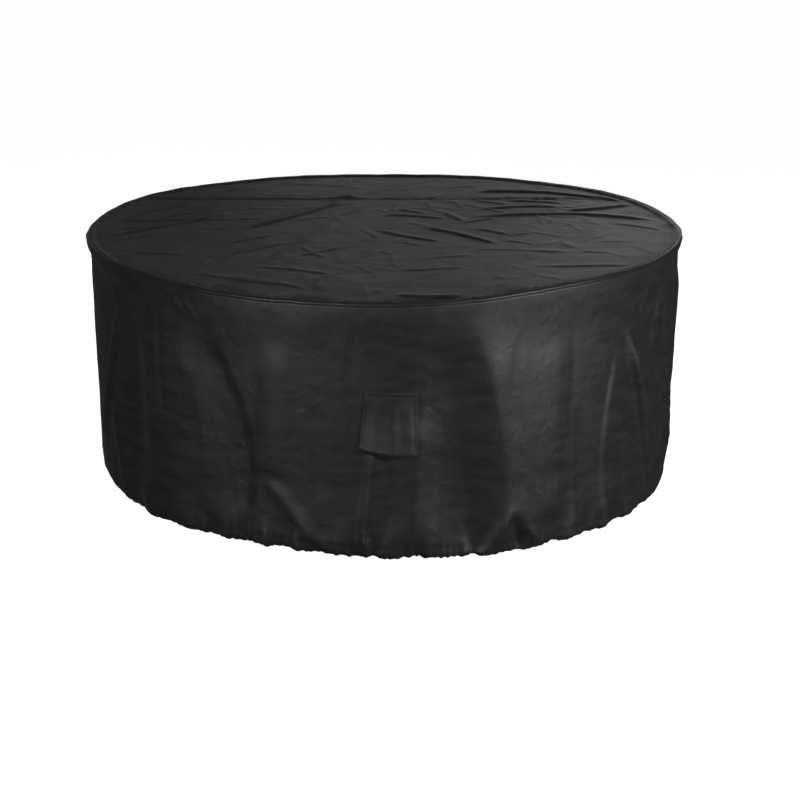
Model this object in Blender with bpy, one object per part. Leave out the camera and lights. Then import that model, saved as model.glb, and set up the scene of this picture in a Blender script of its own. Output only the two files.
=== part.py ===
"""Round fitted cover for patio furniture, draped as it hangs over a table with chairs.

Two top panels meet at a cross seam, a piped welt runs round the rim, the skirt hangs from it
to a gathered hem, and an air vent flap is sewn to the front of the skirt. The furniture
itself is left out. Metres, +Z up: the origin is the middle of the table top, just under the
cover, and -Y is the front. An azimuth is in degrees, 0 at the front and growing to the right.
"""
import math
from collections import namedtuple

import bmesh
import bpy
from mathutils import Vector
from mathutils.bvhtree import BVHTree
from mathutils.geometry import delaunay_2d_cdt

# --- driving dimensions ---------------------------------------------------------------
COVER_RADIUS = 1.0
COVER_HEIGHT = 0.82          # from the table top down to the lowest gather
CLOTH = 0.002                # thickness of the coated cloth
SEW_GAP = 0.0004             # between two sewn pieces

WELT_WIDTH = 0.020
WELT_HEIGHT = 0.015
WELT_DROP = 0.002            # the welt's middle lies this far under the table top
RIM_STEPS = 120
WELT_SIDES = 8

SEAM_Y = 0.475               # the cross seam of the top: the front panel is one cloth width
SEAM_RISE = 0.004
SEAM_FOOT = 0.026            # half the width of the ridge along it
TOP_FOLD_FADE = 0.22         # share of a fold over which each of its ends dies out

SKIRT_INSET = 0.012          # the hanging cloth lies this far inside the rim
SKIRT_TAPER = 0.008          # and this much more by the hem
SKIRT_FOLD_FADES = (0.25, 0.15)     # share of a fold over which its upper and lower end die out
RIM_RISE_FADE = 0.35         # drops at which the rim's own unevenness has died out
RIM_REACH_FADE = 0.60
HEM_LIFT_FROM = 0.40         # and at which the hem's begins
HEM_DRAW_FROM = 0.55
HEM_CURL = 0.030             # radius of the turned-in hem
HEM_TURN = math.radians(112) # how far the hem turns in under itself

FLAP_CORNERS = {             # azimuth and height of each corner: the right side hangs lower
    "top left": (-3.4, -0.271), "top right": (5.5, -0.279),
    "low left": (-4.7, -0.458), "low right": (5.7, -0.478),
}
FLAP_BULGE = 0.010           # how far the open lower edge stands off the skirt
FLAP_COLUMNS, FLAP_ROWS = 6, 7

TOP_SPACING = 0.085          # of the points between the folds of the top
TOP_FOLD_SPACING = 0.070     # of the points along a fold there
SKIRT_FOLD_SPACING = 0.090   # and along a fold of the skirt
FOLD_CLEARANCE = 0.014       # a fold's points stay this far from the cloth's edge
SKIRT_STEP = 5.0             # degrees between the points of the plain skirt
HEM_STEP = 2.5               # and of its gathers
PLAIN_DROPS = (0.0, 0.03, 0.10, 0.19, 0.28, 0.37, 0.46, 0.55, 0.63)
GATHERED_DROPS = (0.69, 0.74)

# --- folds ----------------------------------------------------------------------------
# A fold of the top runs from its start to its end, as x and y. bow is how far its middle swings
# to the left of that line, width is half its foot, and rise is its height.
TopFold = namedtuple("TopFold", "start end bow width rise")
TOP_FOLDS = (
    TopFold((-0.13, 0.44), (-0.50, -0.06), 0.015, 0.030, 0.009),
    TopFold((-0.52, 0.18), (-0.92, -0.14), 0.020, 0.034, 0.006),
    TopFold((-0.60, 0.40), (-0.93, -0.04), -0.085, 0.036, 0.007),
    TopFold((-0.17, 0.14), (-0.39, -0.55), 0.020, 0.030, 0.005),
    TopFold((-0.04, -0.02), (0.19, -0.22), -0.015, 0.028, 0.007),
    TopFold((0.12, 0.02), (0.38, -0.27), 0.012, 0.030, 0.009),
    TopFold((0.22, 0.23), (0.26, 0.09), 0.000, 0.028, 0.006),
    TopFold((0.34, 0.17), (0.93, 0.15), 0.040, 0.034, 0.010),
    TopFold((0.58, 0.27), (0.88, 0.38), -0.015, 0.028, 0.007),
    TopFold((0.43, 0.34), (0.64, 0.34), 0.030, 0.026, 0.006),
    TopFold((0.32, 0.58), (0.80, 0.52), 0.045, 0.034, 0.009),
    TopFold((-0.60, -0.64), (-0.28, -0.80), 0.000, 0.034, 0.004),
    TopFold((0.02, -0.90), (0.24, -0.91), -0.012, 0.028, 0.006),
    TopFold((0.30, -0.52), (0.72, -0.55), 0.000, 0.036, 0.003),
    TopFold((-0.45, 0.78), (-0.05, 0.66), 0.030, 0.040, 0.004),
)

# A fold of the skirt runs from its high end to its low one: at is an azimuth, and drop is the
# distance down the cloth. bow swings its middle to the right and width is half its foot, both
# in degrees; rise is outwards, or inwards if below 0, and soft widens its left flank.
SkirtFold = namedtuple("SkirtFold", "high_at high_drop low_at low_drop bow width rise soft")
SKIRT_FOLDS = (
    SkirtFold(-56.0, 0.09, -72.0, 0.68, 2.0, 2.4, 0.013, 1.0),
    SkirtFold(-64.0, 0.46, -59.5, 0.76, 0.5, 2.2, 0.008, 1.0),
    SkirtFold(-52.0, 0.08, -51.0, 0.74, 0.0, 5.5, -0.009, 1.0),
    SkirtFold(-44.5, 0.02, -42.0, 0.42, 0.5, 1.8, -0.008, 1.0),
    SkirtFold(-38.5, 0.05, -37.0, 0.60, 0.0, 4.0, 0.011, 1.0),
    SkirtFold(-35.0, 0.08, -25.0, 0.74, 4.5, 3.2, -0.015, 1.0),
    SkirtFold(-19.0, 0.10, -20.0, 0.58, 0.0, 4.5, 0.008, 1.0),
    SkirtFold(-22.5, 0.60, -11.5, 0.79, 0.0, 2.4, -0.012, 1.0),
    SkirtFold(1.5, 0.50, -3.0, 0.79, 0.0, 2.2, 0.010, 1.0),
    SkirtFold(6.5, 0.50, 6.0, 0.78, 1.5, 2.4, 0.010, 1.0),
    SkirtFold(13.5, 0.06, 15.5, 0.76, 0.5, 4.5, -0.020, 2.0),
    SkirtFold(15.5, 0.03, 21.0, 0.66, 2.0, 2.8, 0.018, 0.7),
    SkirtFold(22.0, 0.66, 17.5, 0.80, 0.0, 2.2, 0.010, 1.0),
    SkirtFold(22.5, 0.68, 27.0, 0.80, 0.0, 2.4, -0.014, 1.0),
    SkirtFold(32.0, 0.10, 32.5, 0.74, -1.0, 5.0, 0.010, 1.6),
    SkirtFold(38.5, 0.28, 38.5, 0.76, 0.0, 3.0, -0.008, 1.0),
    SkirtFold(46.5, 0.27, 43.0, 0.79, -0.8, 1.8, 0.010, 1.0),
    SkirtFold(48.5, 0.24, 49.5, 0.74, 0.0, 3.2, -0.013, 1.0),
    SkirtFold(50.0, 0.18, 58.0, 0.74, 0.5, 2.0, 0.012, 1.0),
    SkirtFold(61.5, 0.11, 58.5, 0.32, -0.4, 1.8, 0.008, 1.0),
    SkirtFold(62.5, 0.08, 70.5, 0.66, -0.5, 2.2, 0.016, 1.0),
    SkirtFold(64.0, 0.36, 66.0, 0.77, 0.0, 2.2, 0.009, 1.0),
    SkirtFold(70.0, 0.03, 61.0, 0.14, 0.0, 2.0, 0.007, 1.0),
    SkirtFold(80.0, 0.10, 78.0, 0.72, 1.0, 4.5, -0.012, 1.0),
    SkirtFold(88.0, 0.05, 92.0, 0.66, -1.5, 3.2, 0.013, 1.0),
    SkirtFold(101.0, 0.06, 97.0, 0.74, 1.0, 3.8, -0.013, 1.5),
    SkirtFold(112.0, 0.10, 109.0, 0.60, 1.0, 3.0, 0.011, 1.0),
    SkirtFold(120.0, 0.28, 125.0, 0.77, 0.0, 2.4, 0.011, 1.0),
    SkirtFold(131.0, 0.05, 129.0, 0.70, 2.0, 4.2, -0.014, 0.7),
    SkirtFold(141.0, 0.04, 146.0, 0.72, 1.0, 2.8, 0.013, 1.0),
    SkirtFold(155.0, 0.12, 152.0, 0.76, -1.0, 3.8, -0.011, 1.0),
    SkirtFold(163.0, 0.06, 165.5, 0.62, 0.0, 3.4, 0.010, 1.0),
    SkirtFold(-171.0, 0.08, -168.0, 0.74, 1.0, 3.4, 0.012, 1.0),
    SkirtFold(-160.0, 0.04, -163.0, 0.66, 0.0, 4.2, -0.012, 1.0),
    SkirtFold(-150.0, 0.10, -144.0, 0.76, -1.0, 2.8, 0.012, 1.0),
    SkirtFold(-137.0, 0.05, -138.0, 0.72, 1.5, 4.0, -0.014, 1.6),
    SkirtFold(-126.0, 0.22, -130.0, 0.77, 0.0, 2.4, 0.010, 1.0),
    SkirtFold(-118.0, 0.04, -116.0, 0.58, 0.0, 3.6, 0.011, 1.0),
    SkirtFold(-106.0, 0.06, -104.0, 0.74, -2.0, 4.0, -0.013, 0.7),
    SkirtFold(-94.0, 0.05, -97.0, 0.68, 0.0, 3.0, 0.012, 1.0),
    SkirtFold(-84.0, 0.12, -80.0, 0.74, 1.0, 3.6, -0.010, 1.0),
)

# How far the rim reaches past its circle, and how far it rises over the table, round the cover.
RimPoint = namedtuple("RimPoint", "azimuth reach rise")
RIM_POINTS = (
    RimPoint(-180, -0.022, -0.006), RimPoint(-150, -0.006, -0.001), RimPoint(-122, 0.014, 0.005),
    RimPoint(-90, 0.000, 0.001), RimPoint(-50, -0.006, 0.002), RimPoint(-25, 0.008, -0.003),
    RimPoint(4, 0.012, -0.005), RimPoint(36, -0.012, 0.006), RimPoint(62, -0.010, 0.002),
    RimPoint(90, 0.000, 0.000), RimPoint(122, 0.007, 0.003), RimPoint(150, -0.008, -0.002),
)
# How far the elastic lifts the hem off the floor and draws it in, round the cover.
HemPoint = namedtuple("HemPoint", "azimuth lift draw")
HEM_POINTS = (
    HemPoint(-180, 0.012, 0.002), HemPoint(-140, 0.006, -0.006), HemPoint(-104, 0.020, 0.000),
    HemPoint(-80, 0.038, 0.008), HemPoint(-55, 0.024, -0.004), HemPoint(-22, 0.023, -0.004),
    HemPoint(0, 0.008, -0.008), HemPoint(20, 0.000, -0.014), HemPoint(45, 0.001, -0.014),
    HemPoint(62, 0.006, -0.010), HemPoint(82, 0.032, 0.008), HemPoint(110, 0.010, -0.002),
)
GATHERS = 42                 # main gathers round the hem
GATHER_DEPTH = 0.009
GATHER_SCALLOP = 0.005
GATHER_REACH = 0.12          # height over which a gather dies out

# --- colours --------------------------------------------------------------------------
CLOTH_BLACK = (0.018, 0.018, 0.019, 1.0)
CLOTH_ROUGHNESS = 0.52
WELT_BLACK = (0.012, 0.012, 0.013, 1.0)
WELT_ROUGHNESS = 0.60


def smooth(low, high, value):
    """0 below low, 1 above high and an even S between them."""
    t = min(max((value - low) / (high - low), 0.0), 1.0)
    return t * t * (3.0 - 2.0 * t)


def ring_point(azimuth, radius, z):
    angle = math.radians(azimuth)
    return Vector((radius * math.sin(angle), -radius * math.cos(angle), z))


def round_value(points, azimuth, column):
    """A column of a table of points round the cover, eased between its rows."""
    turned = (azimuth + 180.0) % 360.0 - 180.0
    closed = list(points) + [points[0]._replace(azimuth=180.0)]
    for one, two in zip(closed, closed[1:]):
        if one.azimuth <= turned <= two.azimuth:
            first, second = getattr(one, column), getattr(two, column)
            return first + (second - first) * smooth(one.azimuth, two.azimuth, turned)
    return getattr(points[0], column)


def bump(distance, width):
    """A soft crest: 1 on the fold's line and 0 at its foot."""
    share = min(abs(distance) / width, 1.0)
    return (1.0 - share * share) ** 2


# --- flat cloth -----------------------------------------------------------------------
FlatFold = namedtuple("FlatFold", "start end bow left right")


def steps(first, last, step):
    """Numbers from first up to last, a step apart."""
    return [first + step * i for i in range(int(round((last - first) / step - 1e-6)) + 1)]


def fold_lines(fold, spacing):
    """The crest of a fold and its foot on each side, as rows of points on the flat cloth."""
    run = fold.end - fold.start
    left_way = Vector((-run.y, run.x)).normalized()
    pieces = max(3, round(run.length / spacing))
    rows = []
    for offset, trim in ((0.0, 0.0), (fold.left, 0.08), (-fold.right, 0.08)):
        row = []
        for i in range(pieces + 1):
            t = trim + (1.0 - 2.0 * trim) * i / pieces
            row.append(fold.start + run * t + left_way * (offset + 4.0 * fold.bow * t * (1.0 - t)))
        rows.append(row)
    return rows


def inside(point, outline):
    """Whether a point lies inside a closed outline."""
    crossings = 0
    for one, two in zip(outline, outline[1:] + outline[:1]):
        if (one.y > point.y) != (two.y > point.y):
            x = one.x + (point.y - one.y) * (two.x - one.x) / (two.y - one.y)
            crossings += x > point.x
    return crossings % 2 == 1


def far_from(point, others, distance):
    return all((other - point).length > distance for other in others)


def clipped(lines, outline):
    """The stretches of the lines that lie inside the outline and clear of its points."""
    kept = []
    for line in lines:
        run = []
        for point in line:
            if inside(point, outline) and far_from(point, outline, FOLD_CLEARANCE):
                run.append(point)
            else:
                kept.append(run)
                run = []
        kept.append(run)
    return [run for run in kept if len(run) > 1]


def triangulate(outline, lines, points):
    """Points and triangles of the flat cloth, with an edge along every line."""
    count = len(outline)
    vertices = list(outline)
    edges = [(i, (i + 1) % count) for i in range(count)]
    for line in lines:
        first = len(vertices)
        vertices += line
        edges += [(first + i, first + i + 1) for i in range(len(line) - 1)]
    made = delaunay_2d_cdt(vertices + points, edges, [list(range(count))], 1, 1e-5)
    return made[0], made[2]


def cloth_shape(points, faces):
    """A bmesh of draped cloth, its doubled points merged."""
    shape = bmesh.new()
    corners = [shape.verts.new(point) for point in points]
    for face in faces:
        shape.faces.new([corners[i] for i in face])
    bmesh.ops.remove_doubles(shape, verts=shape.verts, dist=1e-6)
    return shape


def make_object(name, shape, colour, roughness):
    """Turns a bmesh into the named object with its own material."""
    mesh = bpy.data.meshes.new(name)
    shape.to_mesh(mesh)
    shape.free()
    material = bpy.data.materials.new(name)
    material.use_nodes = True
    shader = material.node_tree.nodes["Principled BSDF"]
    shader.inputs["Base Color"].default_value = colour
    shader.inputs["Roughness"].default_value = roughness
    shader.inputs["Metallic"].default_value = 0.0
    mesh.materials.append(material)
    mesh.shade_smooth()
    made = bpy.data.objects.new(name, mesh)
    bpy.context.scene.collection.objects.link(made)
    return made


def thicken(made, offset):
    """Gives the cloth its thickness: inwards for offset -1, outwards for 1."""
    solidify = made.modifiers.new("thickness", "SOLIDIFY")
    solidify.thickness = CLOTH
    solidify.offset = offset
    solidify.use_even_offset = True


# --- the top --------------------------------------------------------------------------
PANEL_RADIUS = COVER_RADIUS - WELT_WIDTH - SEW_GAP
RIM_STEP = 360.0 / RIM_STEPS
EDGE_DIP = WELT_DROP + CLOTH / 2     # brings the cloth's edge level with the welt's middle


def panel_reach(azimuth):
    """Distance of the top cloth's round edge from the middle."""
    return PANEL_RADIUS + round_value(RIM_POINTS, azimuth, "reach")


def top_fold_rise(fold, point):
    """Height that one fold gives the point, and 0 away from it."""
    start = Vector(fold.start)
    run = Vector(fold.end) - start
    t = (point - start).dot(run) / run.length_squared
    if not 0.0 < t < 1.0:
        return 0.0
    rightwards = (point - start).cross(run.normalized())
    fade = smooth(0.0, TOP_FOLD_FADE, t) * smooth(1.0, 1.0 - TOP_FOLD_FADE, t)
    return fold.rise * fade * bump(rightwards + 4.0 * fold.bow * t * (1.0 - t), fold.width)


def top_height(point):
    """Height of the top cloth's underside above the table: its edge is sewn to the welt."""
    azimuth = math.degrees(math.atan2(point.x, -point.y))
    share = point.length / panel_reach(azimuth)
    folds = max(top_fold_rise(fold, point) for fold in TOP_FOLDS)
    seam = SEAM_RISE * bump(point.y - SEAM_Y, SEAM_FOOT)
    rim = (round_value(RIM_POINTS, azimuth, "rise") - EDGE_DIP) * smooth(0.72, 0.99, share)
    return max(folds, seam) * smooth(0.996, 0.95, share) + rim


def rim_arc(first, last):
    """Points of the panel's round edge at the welt's own steps, from azimuth first to last."""
    low = math.ceil(first / RIM_STEP + 0.2)
    high = math.floor(last / RIM_STEP - 0.2)
    between = [step * RIM_STEP for step in range(low, high + 1)]
    return [ring_point(at, panel_reach(at), 0.0).xy for at in [first] + between + [last]]


def seam_end(seam, side):
    """Azimuth at which the seam meets the rim, left (-1) or right (1)."""
    azimuth = side * math.degrees(math.acos(-seam / PANEL_RADIUS))
    return side * math.degrees(math.acos(-seam / panel_reach(azimuth)))


def panel_outline(front):
    """The panel's edge: its arc, then back along the cross seam."""
    seam = SEAM_Y - SEW_GAP / 2 if front else SEAM_Y + SEW_GAP / 2
    left, right = seam_end(seam, -1), seam_end(seam, 1)
    arc = rim_arc(left, right) if front else rim_arc(right, 360.0 + left)
    pieces = round((arc[0] - arc[-1]).length / TOP_FOLD_SPACING)
    return arc + [arc[-1].lerp(arc[0], step / pieces) for step in range(1, pieces)]


def top_lines(outline):
    """The folds of the top and the feet of the seam's ridge, inside one panel."""
    lines = []
    for fold in TOP_FOLDS:
        flat = FlatFold(Vector(fold.start), Vector(fold.end), fold.bow, fold.width, fold.width)
        lines += fold_lines(flat, TOP_FOLD_SPACING)
    for foot in (SEAM_Y - SEAM_FOOT, SEAM_Y + SEAM_FOOT):
        lines.append([Vector((x, foot)) for x in steps(-0.8, 0.8, TOP_FOLD_SPACING)])
    return clipped(lines, outline)


def top_panel(name, front):
    outline = panel_outline(front)
    lines = top_lines(outline)
    taken = outline + [point for line in lines for point in line]
    points = []
    for row, y in enumerate(steps(-COVER_RADIUS, COVER_RADIUS, TOP_SPACING)):
        shift = 0.5 * TOP_SPACING * (row % 2)
        for x in steps(-COVER_RADIUS + shift, COVER_RADIUS, TOP_SPACING):
            point = Vector((x, y))
            if inside(point, outline) and far_from(point, taken, 0.55 * TOP_SPACING):
                points.append(point)
    flat, faces = triangulate(outline, lines, points)
    shape = cloth_shape([point.to_3d() + Vector((0, 0, top_height(point))) for point in flat], faces)
    made = bmesh.ops.extrude_face_region(shape, geom=shape.faces[:], use_keep_orig=True)
    upper = [part for part in made["geom"] if isinstance(part, bmesh.types.BMVert)]
    bmesh.ops.translate(shape, verts=upper, vec=(0.0, 0.0, CLOTH))
    bmesh.ops.recalc_face_normals(shape, faces=shape.faces)
    return make_object(name, shape, CLOTH_BLACK, CLOTH_ROUGHNESS)


# --- the rim --------------------------------------------------------------------------
def rim_welt(name):
    """A piping, wider than high, with the same steps as the top's edge.

    Its sides lie flat against the top's edge, and over the skirt's.
    """
    middle = COVER_RADIUS - WELT_WIDTH / 2
    corner = 1.0 / math.cos(math.pi / WELT_SIDES)
    shape = bmesh.new()
    rings = []
    for step in range(RIM_STEPS):
        azimuth = step * RIM_STEP
        reach = round_value(RIM_POINTS, azimuth, "reach")
        rise = round_value(RIM_POINTS, azimuth, "rise")
        ring = []
        for side in range(WELT_SIDES):
            turn = 2.0 * math.pi * (side + 0.5) / WELT_SIDES
            radius = middle + reach + corner * WELT_WIDTH / 2 * math.cos(turn)
            z = rise - WELT_DROP + corner * WELT_HEIGHT / 2 * math.sin(turn)
            ring.append(shape.verts.new(ring_point(azimuth, radius, z)))
        rings.append(ring)
    for step, ring in enumerate(rings):
        following = rings[(step + 1) % RIM_STEPS]
        for side in range(WELT_SIDES):
            beside = (side + 1) % WELT_SIDES
            shape.faces.new((ring[side], following[side], following[beside], ring[beside]))
    bmesh.ops.recalc_face_normals(shape, faces=shape.faces)
    return make_object(name, shape, WELT_BLACK, WELT_ROUGHNESS)


# --- the skirt ------------------------------------------------------------------------
SKIRT_TOP = WELT_DROP + WELT_HEIGHT / 2 + SEW_GAP
HEM_START = COVER_HEIGHT - SKIRT_TOP - HEM_CURL - CLOTH
SKIRT_LENGTH = HEM_START + HEM_CURL * HEM_TURN


def gather(azimuth):
    """The hem's ripple, -1 to 1, closer together in some places than in others."""
    angle = math.radians(azimuth)
    drift = 0.9 * math.sin(3 * angle + 0.6) + 0.7 * math.sin(7 * angle + 2.1)
    size = 0.72 + 0.28 * math.sin(5 * angle + 1.0) * math.cos(11 * angle)
    return size * math.sin(GATHERS * angle + drift)


def skirt_fold_rise(fold, azimuth, drop):
    """How far one fold pushes the skirt out at an azimuth and a distance down the cloth."""
    t = (drop - fold.high_drop) / (fold.low_drop - fold.high_drop)
    if not 0.0 < t < 1.0:
        return 0.0
    middle = fold.high_at + (fold.low_at - fold.high_at) * t + 4.0 * fold.bow * t * (1.0 - t)
    across = azimuth - middle
    width = fold.width * (fold.soft if across < 0.0 else 1.0)
    fade = smooth(0.0, SKIRT_FOLD_FADES[0], t) * smooth(1.0, 1.0 - SKIRT_FOLD_FADES[1], t)
    return fold.rise * fade * bump(across, width)


def skirt_place(azimuth, drop):
    """Where the point of the flat cloth at this azimuth and distance down hangs."""
    turn = max(drop - HEM_START, 0.0) / HEM_CURL
    z = -SKIRT_TOP - min(drop, HEM_START) - HEM_CURL * math.sin(turn)
    inset = SKIRT_INSET + SKIRT_TAPER * smooth(0.0, HEM_START, drop)
    inset += HEM_CURL * (1.0 - math.cos(turn))
    z += round_value(HEM_POINTS, azimuth, "lift") * smooth(HEM_LIFT_FROM, HEM_START, drop)
    z += round_value(RIM_POINTS, azimuth, "rise") * smooth(RIM_RISE_FADE, 0.0, drop)
    inset += round_value(HEM_POINTS, azimuth, "draw") * smooth(HEM_DRAW_FROM, SKIRT_LENGTH, drop)
    inset -= round_value(RIM_POINTS, azimuth, "reach") * smooth(RIM_REACH_FADE, 0.0, drop)
    ripple = gather(azimuth) * smooth(HEM_START - GATHER_REACH, HEM_START, drop)
    swell = sum(skirt_fold_rise(fold, azimuth, drop) for fold in SKIRT_FOLDS)
    swell *= smooth(0.0, 0.05, drop) * max(math.cos(turn), 0.0)
    swell += GATHER_DEPTH * ripple
    z += GATHER_SCALLOP * ripple * math.sin(min(turn, math.pi / 2))
    return ring_point(azimuth, COVER_RADIUS - inset + swell, z)


def skirt_outline(scale):
    """The strip's edge: along the rim, down one end, along the hem and up the other end."""
    ends = [-drop for drop in PLAIN_DROPS[1:] + GATHERED_DROPS]
    rim = [Vector((azimuth * scale, 0.0)) for azimuth in steps(-180.0, 180.0, SKIRT_STEP)]
    hem = [Vector((azimuth * scale, -SKIRT_LENGTH)) for azimuth in steps(-180.0, 180.0, HEM_STEP)]
    left = [Vector((-180.0 * scale, height)) for height in ends]
    right = [Vector((180.0 * scale, height)) for height in ends]
    return rim[::-1] + left + hem + right[::-1]


def skirt(name):
    """The skirt's cloth, cut flat as one long strip and hung round the rim."""
    scale = math.radians(COVER_RADIUS)      # metres of cloth for one degree
    outline = skirt_outline(scale)
    lines = []
    for fold in SKIRT_FOLDS:
        start = Vector((fold.high_at * scale, -fold.high_drop))
        end = Vector((fold.low_at * scale, -fold.low_drop))
        width = fold.width * scale
        flat = FlatFold(start, end, fold.bow * scale, width, width * fold.soft)
        lines += fold_lines(flat, SKIRT_FOLD_SPACING)
    lines = clipped(lines, outline)
    taken = outline + [point for line in lines for point in line]
    curl_drops = (HEM_START + 0.3 * HEM_CURL, HEM_START + 0.95 * HEM_CURL)
    rows = [(drop, SKIRT_STEP) for drop in PLAIN_DROPS[1:]]
    rows += [(drop, HEM_STEP) for drop in GATHERED_DROPS + curl_drops]
    points = []
    for index, (drop, step) in enumerate(rows):
        shift = 0.5 * step * (index % 2)
        for azimuth in steps(step - 180.0 + shift, 180.0 - 0.6 * step, step):
            point = Vector((azimuth * scale, -drop))
            if far_from(point, taken, 0.42 * step * scale):
                points.append(point)
    flat, faces = triangulate(outline, lines, points)
    shape = cloth_shape([skirt_place(point.x / scale, -point.y) for point in flat], faces)
    made = make_object(name, shape, CLOTH_BLACK, CLOTH_ROUGHNESS)
    thicken(made, -1.0)
    return made


# --- the vent flap --------------------------------------------------------------------
def flap_spot(u, v):
    """Azimuth and height of the spot at share u across the flap and v down it."""
    top_left, top_right = Vector(FLAP_CORNERS["top left"]), Vector(FLAP_CORNERS["top right"])
    low_left, low_right = Vector(FLAP_CORNERS["low left"]), Vector(FLAP_CORNERS["low right"])
    return top_left.lerp(top_right, u).lerp(low_left.lerp(low_right, u), v)


def vent_flap(name, skirt_object):
    """A flap sewn to the skirt along its top and sides, standing off it at its lower edge."""
    mesh = skirt_object.data
    surface = BVHTree.FromPolygons(
        [vertex.co for vertex in mesh.vertices], [tuple(face.vertices) for face in mesh.polygons]
    )
    points = []
    for row in range(FLAP_ROWS + 1):
        v = row / FLAP_ROWS
        for column in range(FLAP_COLUMNS + 1):
            u = column / FLAP_COLUMNS
            azimuth, height = flap_spot(u, v)
            outwards = ring_point(azimuth, 1.0, 0.0)
            sewn = surface.ray_cast(ring_point(azimuth, 1.2 * COVER_RADIUS, height), -outwards)[0]
            stand_off = 2.0 * SEW_GAP + FLAP_BULGE * v * v * math.sin(math.pi * u)
            points.append(sewn + outwards * stand_off)
    faces = []
    for row in range(FLAP_ROWS):
        for column in range(FLAP_COLUMNS):
            corner = row * (FLAP_COLUMNS + 1) + column
            below = corner + FLAP_COLUMNS + 1
            faces.append((corner, below, below + 1, corner + 1))
    made = make_object(name, cloth_shape(points, faces), CLOTH_BLACK, CLOTH_ROUGHNESS)
    thicken(made, 1.0)
    return made


for old in list(bpy.data.objects):
    bpy.data.objects.remove(old, do_unlink=True)
top_panel("top_front", True)
top_panel("top_back", False)
rim_welt("rim_welt")
vent_flap("vent_flap", skirt("skirt"))
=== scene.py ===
"""Looks of a round fitted cover for patio furniture, photographed in a soft studio light.

The black coated cloth hangs from a piped rim to a gathered hem. Most of its folds are the
solids' own, laid finer, and those at the skirt's front were set anew from the photograph. Every
fold is a row of a table, and small creases are scattered between them. Metres, +Z up, and -Y is
the front. An azimuth is in degrees, 0 at the front and growing to the right; a drop is the
distance down the skirt's cloth from the rim.
"""
import math
import random
from collections import namedtuple

import bpy
import numpy as np
from mathutils import Matrix, Vector, noise
from mathutils.bvhtree import BVHTree
from mathutils.geometry import delaunay_2d_cdt


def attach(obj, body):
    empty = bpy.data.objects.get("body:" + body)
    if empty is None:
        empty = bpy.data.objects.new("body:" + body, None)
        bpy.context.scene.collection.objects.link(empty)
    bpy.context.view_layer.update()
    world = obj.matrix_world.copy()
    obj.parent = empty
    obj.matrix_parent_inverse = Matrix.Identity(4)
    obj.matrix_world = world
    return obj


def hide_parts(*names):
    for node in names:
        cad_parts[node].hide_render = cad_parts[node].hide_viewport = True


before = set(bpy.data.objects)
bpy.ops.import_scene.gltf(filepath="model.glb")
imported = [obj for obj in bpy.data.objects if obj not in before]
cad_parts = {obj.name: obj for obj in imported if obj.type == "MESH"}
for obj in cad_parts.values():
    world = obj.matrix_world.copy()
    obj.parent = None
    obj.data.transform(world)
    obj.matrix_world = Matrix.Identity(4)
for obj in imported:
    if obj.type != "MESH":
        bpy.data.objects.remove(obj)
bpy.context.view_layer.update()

# --- driving dimensions: the solids' own, and those of the finer cloth --------------------
COVER_RADIUS = 1.0
COVER_HEIGHT = 0.82
SOLID_CLOTH = 0.002          # thickness that the solids give the cloth
CLOTH = 0.0010               # and its thickness here
SEW_GAP = 0.0004

WELT_WIDTH = 0.020
WELT_HEIGHT = 0.015
WELT_DROP = 0.002

SEAM_Y = 0.475
SEAM_RISE = 0.004
SEAM_FOOT = 0.018
SEAM_CRISP = 0.9
TOP_FOLD_FADE = 0.22
TOP_FOLD_BACK = 2.4          # how much wider a fold's flank is that faces the back
TOP_FOLD_END_WIDTH = 0.55    # share of its width that a fold keeps at its ends
TOP_SMOOTH_SHARES = (0.996, 0.95)    # shares of the reach between which the folds die out
RIM_SETTLE_SHARES = (0.72, 0.99)     # and between which the top settles to the rim's height
EDGE_CLIMB = 0.0072          # how far the top's edge climbs on to the welt
EDGE_CLIMB_WIDTHS = (0.020, 0.001)   # from the edge, where the climb starts and ends
EDGE_LAP = 0.006             # and how far it laps over it, at the front
EDGE_LAP_FADE = (115.0, 85.0)

SKIRT_INSET = 0.012
SKIRT_TAPER = 0.008
RIM_FLUSH = 0.0107           # how far the skirt's upper edge comes out under the welt
RIM_TUCK = 0.0049            # and up against it
RIM_TUCK_DROP = 0.012
FLUSH_DROPS = (0.035, 0.170)         # how far down it comes out, at the sides and at the front
FLUSH_FRONT = (72.0, 50.0)
SKIRT_FOLD_FADES = (0.25, 0.15)
RIM_RISE_FADE = 0.35
RIM_REACH_FADE = 0.60
HEM_LIFT_FROM = 0.40
HEM_DRAW_FROM = 0.55
HEM_CURL = 0.030
HEM_TURN = math.radians(112)
HEM_SINK = 0.001             # how far the hem may press below the cover's height

FLAP_CORNERS = {
    "top left": (-3.4, -0.271), "top right": (5.5, -0.279),
    "low left": (-4.7, -0.458), "low right": (5.7, -0.478),
}
FLAP_SIZE = (0.170, 0.190)
FLAP_BULGE = 0.024
FLAP_SAG = 0.0065            # how far the middle of its open edge hangs down
FLAP_CURL = 0.010            # how far the flap's open edge curls back under
FLAP_CURL_WIDTH = 0.015
FLAP_TAUT_SHARES = (0.15, 0.8)       # shares down it between which it leaves the skirt's folds
FLAP_SEAM_WIDTHS = (0.010, 0.006)    # from its edge, where the turned-in cloth ends
FLAP_SEAM_RISE = 0.0012
FLAP_HEM_WIDTHS = (0.017, 0.013)     # from its foot, where the turned-in hem ends
FLAP_HEM_RISE = 0.0008

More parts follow.
